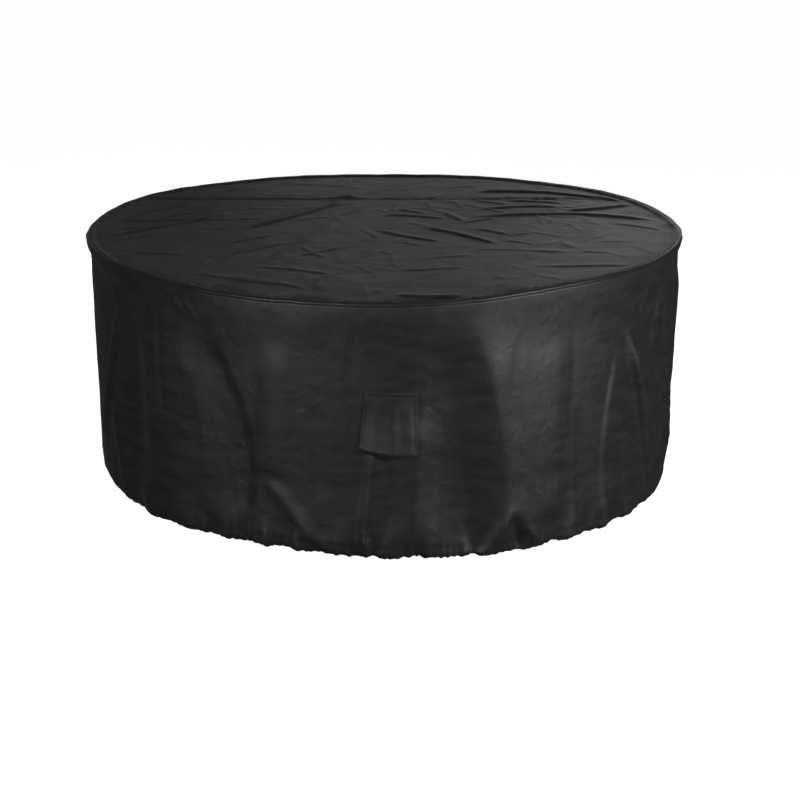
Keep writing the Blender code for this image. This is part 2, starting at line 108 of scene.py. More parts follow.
# Upright creases of the flap: share across at its top and its foot, half width, and rise.
FlapFold = namedtuple("FlapFold", "top_at low_at width rise")
FLAP_FOLDS = (
    FlapFold(0.58, 0.60, 0.12, -0.0022), FlapFold(0.72, 0.76, 0.30, 0.0036),
    FlapFold(0.83, 0.88, 0.08, 0.0006), FlapFold(0.26, 0.20, 0.16, 0.0008),
)
FLAP_FOLD_CRISP = 0.3
FLAP_FOLD_SHARES = (0.05, 0.35, 0.88, 0.99)      # down the flap: they start, stand, fade and end

# --- sizes worked out from them -----------------------------------------------------------
PANEL_RADIUS = COVER_RADIUS - WELT_WIDTH - SEW_GAP
EDGE_DIP = WELT_DROP + SOLID_CLOTH / 2
WELT_LINE = COVER_RADIUS - WELT_WIDTH / 2
SKIRT_TOP = WELT_DROP + WELT_HEIGHT / 2 + SEW_GAP
HEM_START = COVER_HEIGHT - SKIRT_TOP - HEM_CURL - SOLID_CLOTH
SKIRT_LENGTH = HEM_START + HEM_CURL * HEM_TURN
CASING_TOP = HEM_START - 0.004
METRES_PER_DEGREE = math.radians(COVER_RADIUS)
FLOOR_LEVEL = -COVER_HEIGHT - 0.0015

# --- how finely the cloth is modelled ---------------------------------------------------
TOP_PITCH = 0.0084           # between the points of the top's cloth
LATTICE_REACH = 1.05 * COVER_RADIUS
LATTICE_MARGIN = 0.6 * TOP_PITCH     # kept free of points beside a panel's edge
SKIRT_COLUMNS = 800
SKIRT_ROWS = 60
SKIRT_FRONT_CROWD = 28.0     # degrees by which the columns lean to the front
SKIRT_ROW_CROWD = 0.42       # how much closer the rows lie at the rim and the hem
WELT_COLUMNS = 256           # the most that a torus primitive takes
WELT_SIDES = 16
FLAP_COLUMNS, FLAP_ROWS = 64, 72
CREST_BLUNT = 0.10           # keeps a sharp crest from being a knife's edge
CREST_CURVE = 1.6            # how hollow a sharp fold's flanks are

# --- folds of the top -------------------------------------------------------------------
# From start to end, as x and y. bow is how far the middle swings to the left of that line,
# width is half the fold's foot, rise its height, and crisp is 0 for round to 1 for sharp.
TopFold = namedtuple("TopFold", "start end bow width rise crisp")
TOP_FOLDS = (
    TopFold((-0.11, 0.48), (-0.50, -0.06), 0.015, 0.018, 0.0080, 1.0),
    TopFold((-0.53, 0.24), (-0.94, -0.14), 0.020, 0.019, 0.0062, 1.0),
    TopFold((-0.64, 0.40), (-0.93, 0.06), -0.045, 0.020, 0.0050, 0.8),
    TopFold((-0.15, 0.15), (-0.40, -0.58), 0.020, 0.015, 0.0050, 1.0),
    TopFold((-0.04, -0.03), (0.20, -0.24), -0.015, 0.016, 0.0056, 1.0),
    TopFold((0.11, 0.01), (0.38, -0.28), 0.012, 0.018, 0.0068, 1.0),
    TopFold((0.20, 0.24), (0.27, 0.09), 0.000, 0.018, 0.0060, 0.8),
    TopFold((0.27, 0.14), (0.97, 0.09), 0.085, 0.022, 0.0070, 0.9),
    TopFold((0.62, 0.25), (0.90, 0.38), -0.015, 0.017, 0.0065, 0.9),
    TopFold((0.30, 0.26), (0.66, 0.30), 0.050, 0.018, 0.0055, 0.9),
    TopFold((0.32, 0.60), (0.68, 0.56), 0.022, 0.020, 0.0075, 0.8),
    TopFold((0.56, 0.60), (0.88, 0.40), 0.020, 0.018, 0.0065, 0.8),
    TopFold((-0.60, -0.64), (-0.28, -0.80), 0.000, 0.020, 0.0030, 0.8),
    TopFold((0.02, -0.90), (0.24, -0.91), -0.012, 0.018, 0.0055, 0.8),
    TopFold((0.45, -0.57), (0.80, -0.56), 0.000, 0.018, 0.0032, 1.0),
    TopFold((-0.45, 0.78), (-0.05, 0.66), 0.030, 0.030, 0.0035, 0.3),
    TopFold((0.30, -0.03), (0.41, -0.12), 0.004, 0.014, 0.0040, 1.0),
    TopFold((-0.02, 0.19), (0.22, 0.13), 0.012, 0.015, 0.0050, 0.9),
    TopFold((0.04, 0.29), (0.14, 0.21), 0.006, 0.014, 0.0042, 0.8),
    TopFold((0.26, 0.06), (0.39, 0.14), 0.004, 0.013, 0.0038, 0.9),
    TopFold((-0.08, -0.03), (-0.02, -0.18), 0.000, 0.012, 0.0034, 1.0),
    TopFold((0.05, -0.22), (0.12, -0.29), 0.000, 0.011, 0.0028, 1.0),
    TopFold((-0.36, -0.11), (-0.51, -0.24), 0.004, 0.014, 0.0040, 1.0),
    TopFold((-0.31, -0.23), (-0.49, -0.42), -0.006, 0.015, 0.0042, 1.0),
    TopFold((-0.13, -0.29), (-0.28, -0.43), 0.004, 0.013, 0.0042, 1.0),
    TopFold((-0.28, -0.28), (-0.19, -0.46), 0.000, 0.012, 0.0034, 1.0),
    TopFold((-0.61, -0.41), (-0.83, -0.36), 0.004, 0.014, 0.0034, 1.0),
    TopFold((-0.42, -0.56), (-0.15, -0.68), 0.012, 0.014, 0.0036, 1.0),
    TopFold((-0.51, -0.66), (-0.22, -0.84), 0.006, 0.014, 0.0036, 1.0),
    TopFold((-0.47, -0.74), (-0.55, -0.88), 0.000, 0.014, 0.0030, 0.9),
    TopFold((-0.60, 0.14), (-0.96, 0.10), 0.006, 0.014, 0.0036, 0.9),
    TopFold((-0.32, 0.10), (-0.18, 0.17), 0.004, 0.012, 0.0036, 0.9),
    TopFold((-0.40, 0.14), (-0.66, 0.12), 0.004, 0.013, 0.0032, 0.9),
    TopFold((-0.55, 0.35), (-0.80, 0.14), 0.010, 0.014, 0.0036, 0.9),
    TopFold((-0.66, 0.05), (-0.92, -0.02), 0.006, 0.013, 0.0030, 0.9),
    TopFold((-0.70, -0.08), (-0.93, -0.20), 0.006, 0.014, 0.0030, 0.9),
    TopFold((0.00, 0.61), (0.15, 0.82), 0.006, 0.014, 0.0028, 1.0),
    TopFold((0.23, 0.68), (0.36, 0.71), 0.004, 0.018, 0.0030, 0.5),
    TopFold((0.04, -0.62), (0.26, -0.57), -0.010, 0.013, 0.0034, 1.0),
    TopFold((0.01, -0.38), (0.03, -0.60), 0.004, 0.010, 0.0018, 1.0),
    TopFold((0.08, -0.48), (0.30, -0.41), 0.004, 0.014, 0.0026, 0.9),
    TopFold((0.28, -0.33), (0.62, -0.38), 0.004, 0.016, 0.0028, 0.9),
    TopFold((0.54, 0.16), (0.58, 0.06), 0.000, 0.012, 0.0024, 0.9),
    TopFold((0.78, 0.06), (0.94, -0.05), 0.008, 0.014, 0.0032, 0.9),
    TopFold((0.64, -0.12), (0.46, -0.30), 0.020, 0.014, 0.0020, 0.9),
    TopFold((0.40, -0.15), (0.50, -0.09), 0.004, 0.012, 0.0028, 0.9),
    TopFold((0.39, -0.20), (0.49, -0.26), 0.000, 0.012, 0.0026, 0.9),
    TopFold((0.80, -0.02), (0.62, -0.26), 0.010, 0.014, 0.0020, 0.8),
    TopFold((0.24, 0.46), (0.27, 0.30), 0.004, 0.013, 0.0032, 0.9),
    TopFold((-0.02, 0.44), (-0.16, 0.18), 0.010, 0.014, 0.0034, 0.9),
    TopFold((0.06, 0.44), (0.02, 0.24), 0.006, 0.012, 0.0030, 0.9),
    TopFold((-0.08, 0.42), (-0.30, 0.30), 0.008, 0.013, 0.0032, 0.9),
    TopFold((0.14, 0.43), (0.16, 0.30), 0.006, 0.012, 0.0028, 0.9),
    TopFold((0.32, 0.44), (0.44, 0.37), 0.006, 0.013, 0.0036, 0.9),
    TopFold((0.34, 0.31), (0.42, 0.24), 0.000, 0.013, 0.0034, 0.9),
    TopFold((0.42, 0.43), (0.66, 0.38), 0.014, 0.015, 0.0044, 0.9),
)
SEAM_KNOT = (-0.14, 0.030)       # the seam's raised knot: x, and how far behind the seam
SEAM_KNOT_RISE = 0.009
PUCKER_KNOT = (-0.08, 0.50)      # where the cross seam was drawn up: small creases run from here
SEAM_KNOT_SIZE = (0.045, 0.022)
TOP_CREASES = 150                # small ones, scattered between the folds
TOP_CREASE_LENGTHS = (0.05, 0.20)
TOP_CREASE_WIDTHS = (0.009, 0.015)
TOP_CREASE_RISES = (0.0010, 0.0028)
TOP_CREASE_SWERVE = 0.45         # spread of their headings, in radians
TOP_CREASE_BOW = 0.06            # the most that they bow, as a share of their length
TOP_CREASE_CRISP = 0.8
TOP_CREASE_SEED = 41

# --- folds of the skirt -----------------------------------------------------------------
# From the high end to the low one: at is an azimuth. bow swings the middle to the right and
# width is half the foot, both in degrees; rise is outwards, or inwards if below 0; soft widens
# the left flank, and crisp is 0 for round to 1 for sharp.
SkirtFold = namedtuple("SkirtFold", "high_at high_drop low_at low_drop bow width rise soft crisp")
SKIRT_FOLDS = (
    SkirtFold(-56.0, 0.09, -72.0, 0.68, -0.3, 2.4, 0.013, 1.0, 0.8),
    SkirtFold(-64.0, 0.46, -59.5, 0.76, 0.5, 2.2, 0.008, 1.0, 0.8),
    SkirtFold(-52.0, 0.08, -51.0, 0.74, 0.0, 5.5, -0.009, 1.0, 0.2),
    SkirtFold(-43.8, 0.06, -42.6, 0.42, 0.0, 1.3, -0.0028, 1.0, 0.4),
    SkirtFold(-46.5, 0.01, -46.5, 0.90, 0.8, 17.0, 0.025, 0.5, 0.4),
    SkirtFold(-35.5, 0.08, -27.0, 0.73, 5.0, 2.6, -0.011, 3.2, 0.10),
    SkirtFold(-19.0, 0.10, -20.0, 0.58, 0.0, 4.5, 0.008, 1.0, 0.1),
    SkirtFold(-22.0, 0.55, -11.0, 0.79, 0.0, 2.6, 0.0075, 1.0, 0.3),
    SkirtFold(-1.5, 0.40, -4.2, 0.80, 0.0, 3.4, 0.013, 0.6, 0.5),
    SkirtFold(5.5, 0.30, 4.0, 0.80, 0.6, 4.8, 0.014, 1.0, 0.4),
    SkirtFold(14.0, 0.06, 17.0, 0.84, -4.2, 7.0, -0.016, 1.3, 0.2),
    SkirtFold(14.2, 0.02, 21.7, 0.80, 2.6, 13.0, 0.022, 0.60, 0.8),
    SkirtFold(22.8, 0.645, 16.4, 0.83, 0.0, 2.8, 0.011, 0.8, 0.8),
    SkirtFold(22.2, 0.665, 25.2, 0.81, 0.0, 3.0, -0.016, 0.8, 0.8),
    SkirtFold(22.4, 0.66, 29.0, 0.80, 0.0, 1.8, 0.007, 1.0, 0.8),
    SkirtFold(32.0, 0.10, 32.5, 0.74, -1.0, 5.0, 0.010, 1.6, 0.2),
    SkirtFold(38.5, 0.28, 38.5, 0.76, 0.0, 3.0, -0.0012, 1.0, 0.2),
    SkirtFold(48.0, 0.20, 44.5, 0.80, -2.6, 7.5, 0.0060, 0.12, 0.9),
    SkirtFold(49.0, 0.14, 60.0, 0.80, 1.4, 7.5, 0.017, 0.20, 1.0),
    SkirtFold(48.5, 0.13, 59.5, 0.86, 2.0, 1.1, 0.0105, 1.0, 1.0),
    SkirtFold(63.5, 0.09, 58.8, 0.30, 0.0, 1.4, 0.007, 1.0, 0.9),
    SkirtFold(62.5, 0.08, 73.5, 0.78, 0.8, 5.0, 0.010, 0.20, 1.0),
    SkirtFold(61.5, 0.05, 72.0, 0.74, 2.6, 1.3, 0.0085, 1.0, 1.0),
    SkirtFold(64.0, 0.40, 66.0, 0.77, 0.0, 2.4, 0.005, 1.0, 0.4),
    SkirtFold(72.0, 0.03, 60.5, 0.19, -0.5, 1.2, 0.007, 1.0, 0.9),
    SkirtFold(80.0, 0.10, 78.0, 0.72, 1.0, 4.5, -0.012, 1.0, 0.2),
    SkirtFold(88.0, 0.05, 92.0, 0.66, -1.5, 3.2, 0.013, 1.0, 0.6),
    SkirtFold(101.0, 0.06, 97.0, 0.74, 1.0, 3.8, -0.013, 1.5, 0.2),
    SkirtFold(112.0, 0.10, 109.0, 0.60, 1.0, 3.0, 0.011, 1.0, 0.6),
    SkirtFold(120.0, 0.28, 125.0, 0.77, 0.0, 2.4, 0.011, 1.0, 0.8),
    SkirtFold(131.0, 0.05, 129.0, 0.70, 2.0, 4.2, -0.014, 0.7, 0.2),
    SkirtFold(141.0, 0.04, 146.0, 0.72, 1.0, 2.8, 0.013, 1.0, 0.7),
    SkirtFold(155.0, 0.12, 152.0, 0.76, -1.0, 3.8, -0.011, 1.0, 0.2),
    SkirtFold(163.0, 0.06, 165.5, 0.62, 0.0, 3.4, 0.010, 1.0, 0.4),
    SkirtFold(-171.0, 0.08, -168.0, 0.74, 1.0, 3.4, 0.012, 1.0, 0.5),
    SkirtFold(-160.0, 0.04, -163.0, 0.66, 0.0, 4.2, -0.012, 1.0, 0.2),
    SkirtFold(-150.0, 0.10, -144.0, 0.76, -1.0, 2.8, 0.012, 1.0, 0.8),
    SkirtFold(-137.0, 0.05, -138.0, 0.72, 1.5, 4.0, -0.014, 1.6, 0.2),
    SkirtFold(-126.0, 0.22, -130.0, 0.77, 0.0, 2.4, 0.010, 1.0, 0.8),
    SkirtFold(-118.0, 0.04, -116.0, 0.58, 0.0, 3.6, 0.011, 1.0, 0.3),
    SkirtFold(-106.0, 0.06, -104.0, 0.74, -2.0, 4.0, -0.013, 0.7, 0.2),
    SkirtFold(-94.0, 0.05, -97.0, 0.68, 0.0, 3.0, 0.012, 1.0, 0.6),
    SkirtFold(-84.0, 0.12, -80.0, 0.74, 1.0, 3.6, -0.010, 1.0, 0.2),
    # small ones that only the finer cloth shows
    SkirtFold(-45.5, 0.01, -41.0, 0.09, 0.3, 1.0, 0.0040, 1.0, 0.6),
    SkirtFold(-41.5, 0.01, -37.5, 0.07, 0.3, 1.0, 0.0040, 1.0, 0.6),
    SkirtFold(-38.0, 0.02, -34.5, 0.08, 0.2, 0.9, 0.0035, 1.0, 0.6),
    SkirtFold(-61.0, 0.02, -57.5, 0.16, 0.0, 1.4, 0.0035, 1.0, 0.4),
    SkirtFold(-12.5, 0.28, -11.0, 0.62, 0.0, 2.6, -0.0040, 1.0, 0.2),
    SkirtFold(-5.0, 0.04, -6.0, 0.24, 0.0, 1.6, -0.0022, 1.0, 0.3),
    SkirtFold(24.8, 0.09, 23.8, 0.42, -1.6, 1.9, -0.0022, 1.0, 0.1),
    SkirtFold(35.4, 0.06, 35.2, 0.46, 0.0, 1.4, -0.0013, 1.0, 0.2),
    SkirtFold(35.8, 0.32, 36.4, 0.78, 0.0, 0.9, 0.0024, 3.5, 0.8),
    SkirtFold(13.8, 0.54, 12.6, 0.79, 0.0, 2.4, 0.0018, 1.0, 0.2),
    SkirtFold(53.0, 0.03, 55.5, 0.22, 0.0, 1.2, -0.0035, 1.0, 0.5),
    SkirtFold(57.5, 0.02, 55.0, 0.15, 0.0, 1.0, 0.0035, 1.0, 0.6),
    SkirtFold(57.0, 0.01, 66.5, 0.21, -0.5, 1.0, 0.0060, 1.0, 0.9),
    SkirtFold(73.0, 0.04, 66.5, 0.24, 0.0, 1.2, 0.0045, 1.0, 0.7),
    SkirtFold(68.5, 0.10, 73.5, 0.44, 0.0, 1.4, 0.0060, 1.0, 0.7),
)
SKIRT_CREASES = 130              # small ones, scattered all round
SKIRT_CREASE_STARTS = (0.03, 0.60)       # drops at which they start
SKIRT_CREASE_DROPS = (0.06, 0.24)        # how far down they run
SKIRT_CREASE_WIDTHS = (0.7, 1.6)
SKIRT_CREASE_SLANT = 0.28                # spread of their slant, across for each metre down
SKIRT_CREASE_LEAN = 2.2                  # the most degrees that one leans
SKIRT_CREASE_BOW = 0.5
SKIRT_CREASE_RISES = (0.0003, 0.0009)
SKIRT_CREASE_CRISP = 0.4
SKIRT_CREASE_SEED = 17
SKIRT_FOLD_START = 0.05                  # drop by which the folds have their full height

RimPoint = namedtuple("RimPoint", "azimuth reach rise")
RIM_POINTS = (
    RimPoint(-180, -0.022, -0.006), RimPoint(-150, -0.006, -0.001), RimPoint(-122, 0.014, 0.005),
    RimPoint(-90, 0.000, 0.001), RimPoint(-50, -0.006, 0.002), RimPoint(-25, 0.008, -0.003),
    RimPoint(4, 0.012, -0.005), RimPoint(36, -0.012, 0.006), RimPoint(62, -0.010, 0.002),
    RimPoint(90, 0.000, 0.000), RimPoint(122, 0.007, 0.003), RimPoint(150, -0.008, -0.002),
)
HemPoint = namedtuple("HemPoint", "azimuth lift draw")
HEM_POINTS = (
    HemPoint(-180, 0.012, 0.002), HemPoint(-140, 0.006, -0.006), HemPoint(-104, 0.020, 0.000),
    HemPoint(-80, 0.038, 0.000), HemPoint(-55, 0.024, -0.004), HemPoint(-22, 0.023, -0.004),
    HemPoint(0, 0.008, -0.008), HemPoint(20, 0.000, -0.014), HemPoint(45, 0.001, -0.014),
    HemPoint(62, 0.006, -0.010), HemPoint(82, 0.032, 0.008), HemPoint(110, 0.010, -0.002),
)
GATHERS = 42
GATHER_DEPTH = 0.006
GATHER_SCALLOP = 0.003
GATHER_REACH = 0.12

# Where a gather of the hem hangs lowest: its half width in degrees, how far it stands out,
# and how far up the cloth it runs.
HemCusp = namedtuple("HemCusp", "azimuth width rise reach")
HEM_CUSPS = (
    HemCusp(-35.0, 1.6, 0.0032, 0.05), HemCusp(-30.0, 1.4, 0.0032, 0.06),
    HemCusp(-26.8, 1.3, 0.003, 0.04), HemCusp(-21.9, 1.5, 0.0036, 0.05),
    HemCusp(-16.1, 1.6, 0.0032, 0.06), HemCusp(-10.7, 1.5, 0.0042, 0.07),
    HemCusp(-3.5, 1.5, 0.016, 0.08), HemCusp(4.2, 1.4, 0.0036, 0.06),
    HemCusp(7.0, 1.2, 0.0032, 0.05), HemCusp(13.8, 1.4, 0.0010, 0.06),
    HemCusp(22.9, 1.3, 0.0036, 0.05), HemCusp(25.7, 1.2, 0.0042, 0.05),
    HemCusp(38.3, 1.1, 0.003, 0.04), HemCusp(41.2, 1.0, 0.0032, 0.05),
    HemCusp(44.8, 1.1, 0.0036, 0.05), HemCusp(51.0, 1.1, 0.003, 0.04),
    HemCusp(56.0, 1.1, 0.0032, 0.04), HemCusp(59.6, 1.0, 0.003, 0.04),
    HemCusp(63.9, 1.1, 0.0032, 0.05),
)
CUSP_TOP_WIDTH = 0.6             # share of its width that a cusp has where it begins
CUSP_CRISP = 0.4
CASING_GROOVE = 0.0026           # how far the stitches of the elastic's tunnel draw the cloth in
CASING_GROOVE_WIDTH = 0.0045

# The hem's wide and narrow pleats: their width, how far they stand out, how far up from the
# tunnel's stitches they run, and the seed of their places.
HemPleats = namedtuple("HemPleats", "width rise reach seed")
HEM_PLEATS = (HemPleats(0.034, 0.0062, 0.045, 5), HemPleats(0.016, 0.0040, 0.022, 6))
PLEAT_SPACING = 1.6              # from one to the next, in widths
PLEAT_SHARPNESS = 2.6
PLEAT_LEAN = 3.0                 # degrees for each metre down
PLEAT_FULL = 0.008               # below the tunnel's stitches, where they have their full rise
PLEAT_CREST = 0.8
HEM_TOOTH = 0.0092               # how far the hem's edge rises between the pleats
SMOOTH_HEM = (55.0, 63.0, 100.0, 112.0)      # at both sides it is pulled smooth between these
SMOOTH_HEM_SHARE = 0.85
TURNED_HEM_SHARE = 0.25          # least of the pleats' rise that the turned-in cloth keeps

# --- soft unevenness ----------------------------------------------------------------------
# Height and width of the bumps in metres, and the seed of their places.
Wave = namedtuple("Wave", "height width seed")
TOP_WAVES = (Wave(0.0016, 0.16, 1), Wave(0.0007, 0.055, 2), Wave(0.00035, 0.024, 3))
SKIRT_WAVES = (Wave(0.0022, 0.17, 7), Wave(0.0009, 0.060, 8), Wave(0.0004, 0.026, 9))
FLAP_WAVE = Wave(0.0008, 0.04, 12)
FLAP_WAVE_EDGE = 0.012           # it dies out this near the flap's edge

# The cross seam sways to the back and the front, and puckers up and down. It is lively between
# the middle two of four x places, and quiet outside the outer two.
SEAM_SWAYS = (Wave(0.009, 0.15, 21), Wave(0.005, 0.045, 22))
SEAM_SWAY_PLACES = (-0.30, -0.10, 0.75, 0.90)
SEAM_SWAY_LEAST = 0.25
SEAM_SWAY_REACH = 0.11
SEAM_BEADS, SEAM_PUCKERS = Wave(0.0030, 0.017, 23), Wave(0.0050, 0.060, 24)
SEAM_PUCKER_PLACES = (-0.28, -0.12, 0.65, 0.85)
SEAM_PUCKER_LEAST = 0.30
SEAM_PUCKER_STRETCH = 0.3        # makes the puckers longer across the seam than along it
SEAM_PUCKER_REACH, SEAM_PUCKER_SPREAD = 0.034, 0.020

# The rim's puckers and wobble are lively at the front and fade to the sides.
RIM_PUCKERS, RIM_BEADS = Wave(0.0060, 0.075, 31), Wave(0.0042, 0.021, 32)
RIM_PUCKER_WIDTHS, RIM_BEAD_WIDTHS = (0.080, 0.010), (0.045, 0.006)
RIM_PUCKER_MIDDLE, RIM_PUCKER_FADE, RIM_PUCKER_LEAST = -3.0, (50.0, 22.0), 0.30
RIM_PUCKER_SEAM = 0.004          # the stitches hold the cloth flat this near the edge
SKIRT_PUCKER_SHARE = 0.2         # how much of them the skirt's upper edge has
SKIRT_PUCKER_START = 0.006
SKIRT_PUCKER_DROP = 0.02
RIM_WOBBLES = (Wave(0.0016, 0.050, 33), Wave(0.0014, 0.021, 34))
WOBBLE_MIDDLE, WOBBLE_FADE, WOBBLE_LEAST = 3.0, (48.0, 25.0), 0.45
WOBBLE_WIDTH = 0.03              # how far into the cloths it reaches
WOBBLE_INWARDS = 0.5             # how far the rim moves in as it rises

# The piping swells in small ripples, and wanders slowly. The ripples are nearly as many as its
# columns, so they show as a coarser, uneven beat.
WELT_RIPPLES, WELT_RIPPLE_SWELL = 236, 0.045
WELT_WANDERS, WELT_WANDER_SWELL = 41, 0.05
WELT_WANDER = 0.0006

# --- stitches ---------------------------------------------------------------------------
STITCH_LENGTH = 0.0032
STITCH_PITCH = 0.0044
STITCH_WIDTH = 0.0009
STITCH_HEIGHT = 0.0006
STITCH_LIFT = 0.15               # share of its height by which a stitch lies off the cloth
STITCH_SKEW = 0.05               # spread of its turn, in radians
SEAM_ROW_END = 0.012             # from the panel's edge to the end of a row
LINE_STEP = 0.003                # between the places of a seam's line
LINE_STEP_ROUND = 0.2            # and of the hem's, in degrees
WALK_STEP = 0.001                # to both sides of a stitch, where its way is read
FLAP_LINE_PLACES = 60
FLAP_LINE_RADIUS = COVER_RADIUS + 0.005      # off the flap: the stitches are set down on it
SEAM_ROWS = (-0.0035, -0.0095)   # of the cross seam, on the front panel's side
FLAP_EDGE_ROW = 0.0035           # from the flap's edge to its stitches
FLAP_HEM_ROW = 0.014             # and to the row over its open edge

# --- camera: at the photograph's place, turned by two angles ------------------------------
CAMERA_PLACE = (0.0, -6.2, 1.3603)
CAMERA_YAW = math.radians(0.475)
CAMERA_PITCH = math.radians(17.647)
CAMERA_SENSOR = 36.0
CAMERA_LENS = 84.006

# --- finishes and lights ------------------------------------------------------------------
WEAVE_UNIT, CRUMPLE_UNIT = 0.0002, 0.001     # relief in metres for a depth of 1
CLOUD_SHARE, GRAIN_SHARE = 0.75, 0.25        # of the mottle
MOTTLE_SPAN = (0.36, 0.64)
BLUE_CAST = 1.04
WORLD_FILL = 0.012

SoftLight = namedtuple("SoftLight", "name place target size power")
SOFT_LIGHTS = (
    SoftLight("right softbox", (2.8, -2.4, 0.4), (0.0, 0.0, -0.3), (0.8, 0.8), 77.0),
    SoftLight("front left softbox", (-2.0, -3.1, 0.2), (0.0, 0.0, -0.3), (0.7, 0.7), 33.0),
    SoftLight("front softbox", (-1.2, -4.2, 0.6), (0.0, 0.0, -0.3), (1.0, 1.0), 17.0),
    SoftLight("backdrop strip", (0.5, 3.6, 0.8), (0.0, 0.0, -0.3), (2.5, 0.5), 3.7),
    SoftLight("backdrop strip right", (1.6, 3.6, 0.6), (0.0, 0.0, -0.3), (1.5, 0.5), 4.4),
    SoftLight("backdrop strip left", (-2.0, 3.6, 0.9), (0.0, 0.0, -0.3), (1.5, 0.5), 1.0),
    SoftLight("low back softbox", (-1.0, 3.3, -0.4), (0.0, 0.0, -0.45), (1.2, 0.6), 28.0),
    SoftLight("left rim light", (-3.0, -0.5, 2.6), (0.0, 0.0, 0.0), (1.0, 1.0), 3.0),
    SoftLight("overhead softbox", (0.6, -2.6, 3.2), (0.0, 0.0, 0.0), (1.2, 1.2), 6.0),
)


# --- sums that every sheet of cloth uses --------------------------------------------------
def smooth(low, high, value):
    """0 below low, 1 above high and an even S between them."""
    t = np.clip((value - low) / (high - low), 0.0, 1.0)
    return t * t * (3.0 - 2.0 * t)


def plateau(start, full, fading, end, value):
    """1 between full and fading, and 0 outside start and end."""
    return smooth(start, full, value) * smooth(end, fading, value)


def at_least(least, share):
    """From least, where the share is 0, to 1, where it is 1."""
    return least + (1.0 - least) * share


def wrapped(azimuth):
    """The same azimuth from -180 to 180."""
    return (azimuth + 180.0) % 360.0 - 180.0


def azimuth_of(x, y):
    return np.degrees(np.arctan2(x, -y))


def round_value(points, azimuth, column):
    """A column of a table of points round the cover, eased between its rows."""
    turned = wrapped(azimuth)
    closed = list(points) + [points[0]._replace(azimuth=180.0)]
    value = np.zeros_like(turned)
    for one, two in zip(closed, closed[1:]):
        here = (turned >= one.azimuth) & (turned <= two.azimuth)
        first, second = getattr(one, column), getattr(two, column)
        share = smooth(one.azimuth, two.azimuth, turned[here])
        value[here] = first + (second - first) * share
    return value


def crest(across, width, crisp):
    """Section of a fold: 1 on its line, 0 at its foot; round for crisp 0, tent-like for 1."""
    share = np.minimum(np.abs(across) / width, 1.0)
    blunted = np.sqrt(share * share + CREST_BLUNT ** 2) - CREST_BLUNT
    tent = (1.0 - blunted / (math.sqrt(1.0 + CREST_BLUNT ** 2) - CREST_BLUNT)) ** CREST_CURVE
    return (1.0 - crisp) * (1.0 - share * share) ** 2 + crisp * tent


def unevenness(places, width, seed):
    """Soft noise, about -1 to 1, whose bumps are width metres wide."""
    shift = Vector((seed * 7.3, seed * 3.1, seed * 11.7))
    return np.array([noise.noise(Vector(place) / width + shift) for place in places.tolist()])


def waves_at(places, *waves):
    """Height of these waves together."""
    return sum(wave.height * unevenness(places, wave.width, wave.seed) for wave in waves)


def ring_place(azimuth, radius, z):
    angle = np.radians(azimuth)
    return np.stack([radius * np.sin(angle), -radius * np.cos(angle), z], axis=-1)


def rim_line(azimuth):
    """Places on the rim's level circle."""
    return ring_place(azimuth, COVER_RADIUS, np.zeros_like(azimuth))


# --- making a sheet -----------------------------------------------------------------------
def start_fresh():
    """The frame's own nodes are selected after loading, and operators would act on them."""
    if bpy.context.object and bpy.context.object.mode != "OBJECT":
        bpy.ops.object.mode_set(mode="OBJECT")
    bpy.ops.object.select_all(action="DESELECT")


def select_only(piece):
    start_fresh()
    piece.select_set(True)
    bpy.context.view_layer.objects.active = piece


def piece_from(name, points, faces):
    """A new piece of these points and faces."""
    mesh = bpy.data.meshes.new(name)
    mesh.from_pydata(points, [], faces)
    piece = bpy.data.objects.new(name, mesh)
    bpy.context.scene.collection.objects.link(piece)
    return piece


def points_of(piece):
    places = np.empty(len(piece.data.vertices) * 3, dtype=np.float32)
    piece.data.vertices.foreach_get("co", places)
    return places.reshape(-1, 3).astype(float)


def move_points(piece, places):
    piece.data.vertices.foreach_set("co", np.asarray(places, dtype=np.float32).ravel())
    piece.data.update()


def flat_grid(name, columns, rows):
    """A flat grid of cloth, one unit each way, with the share across and down of each point."""
    start_fresh()
    bpy.ops.mesh.primitive_grid_add(x_subdivisions=columns, y_subdivisions=rows, size=1.0)
    piece = bpy.context.object
    piece.name = piece.data.name = name
    flat = points_of(piece)
    return piece, flat[:, 0] + 0.5, 0.5 - flat[:, 1]


def lay_cloth_map(piece, flat_places):
    """Gives the piece a UV map in metres of flat cloth."""
    layers = piece.data.uv_layers
    for name in [layer.name for layer in layers]:
        layers.remove(layers[name])
    layer = layers.new(name="cloth")
    corners = np.empty(len(piece.data.loops), dtype=np.int32)
    piece.data.loops.foreach_get("vertex_index", corners)
    layer.data.foreach_set("uv", np.asarray(flat_places, dtype=np.float32)[corners].ravel())


def close_round(piece):
    """Joins the two ends of a strip that runs all the way round."""
    select_only(piece)
    bpy.ops.object.mode_set(mode="EDIT")
    bpy.ops.mesh.select_all(action="SELECT")
    bpy.ops.mesh.remove_doubles(threshold=0.00001)
    bpy.ops.mesh.normals_make_consistent(inside=False)
    bpy.ops.object.mode_set(mode="OBJECT")


def give_thickness(piece, thickness, offset):
    solidify = piece.modifiers.new("thickness", "SOLIDIFY")
    solidify.thickness = thickness
    solidify.offset = offset
    solidify.use_even_offset = False
    select_only(piece)
    bpy.ops.object.modifier_apply(modifier=solidify.name)
    piece.data.shade_smooth()


def finish_sheet(piece, material, slot, *nodes):
    piece.data.materials.clear()
    piece.data.materials.append(material)
    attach(piece, "root")
    if nodes:
        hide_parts(*nodes)


def surface_of(piece):
    mesh = piece.data
    return BVHTree.FromPolygons(
        [vertex.co for vertex in mesh.vertices], [tuple(face.vertices) for face in mesh.polygons]
    )


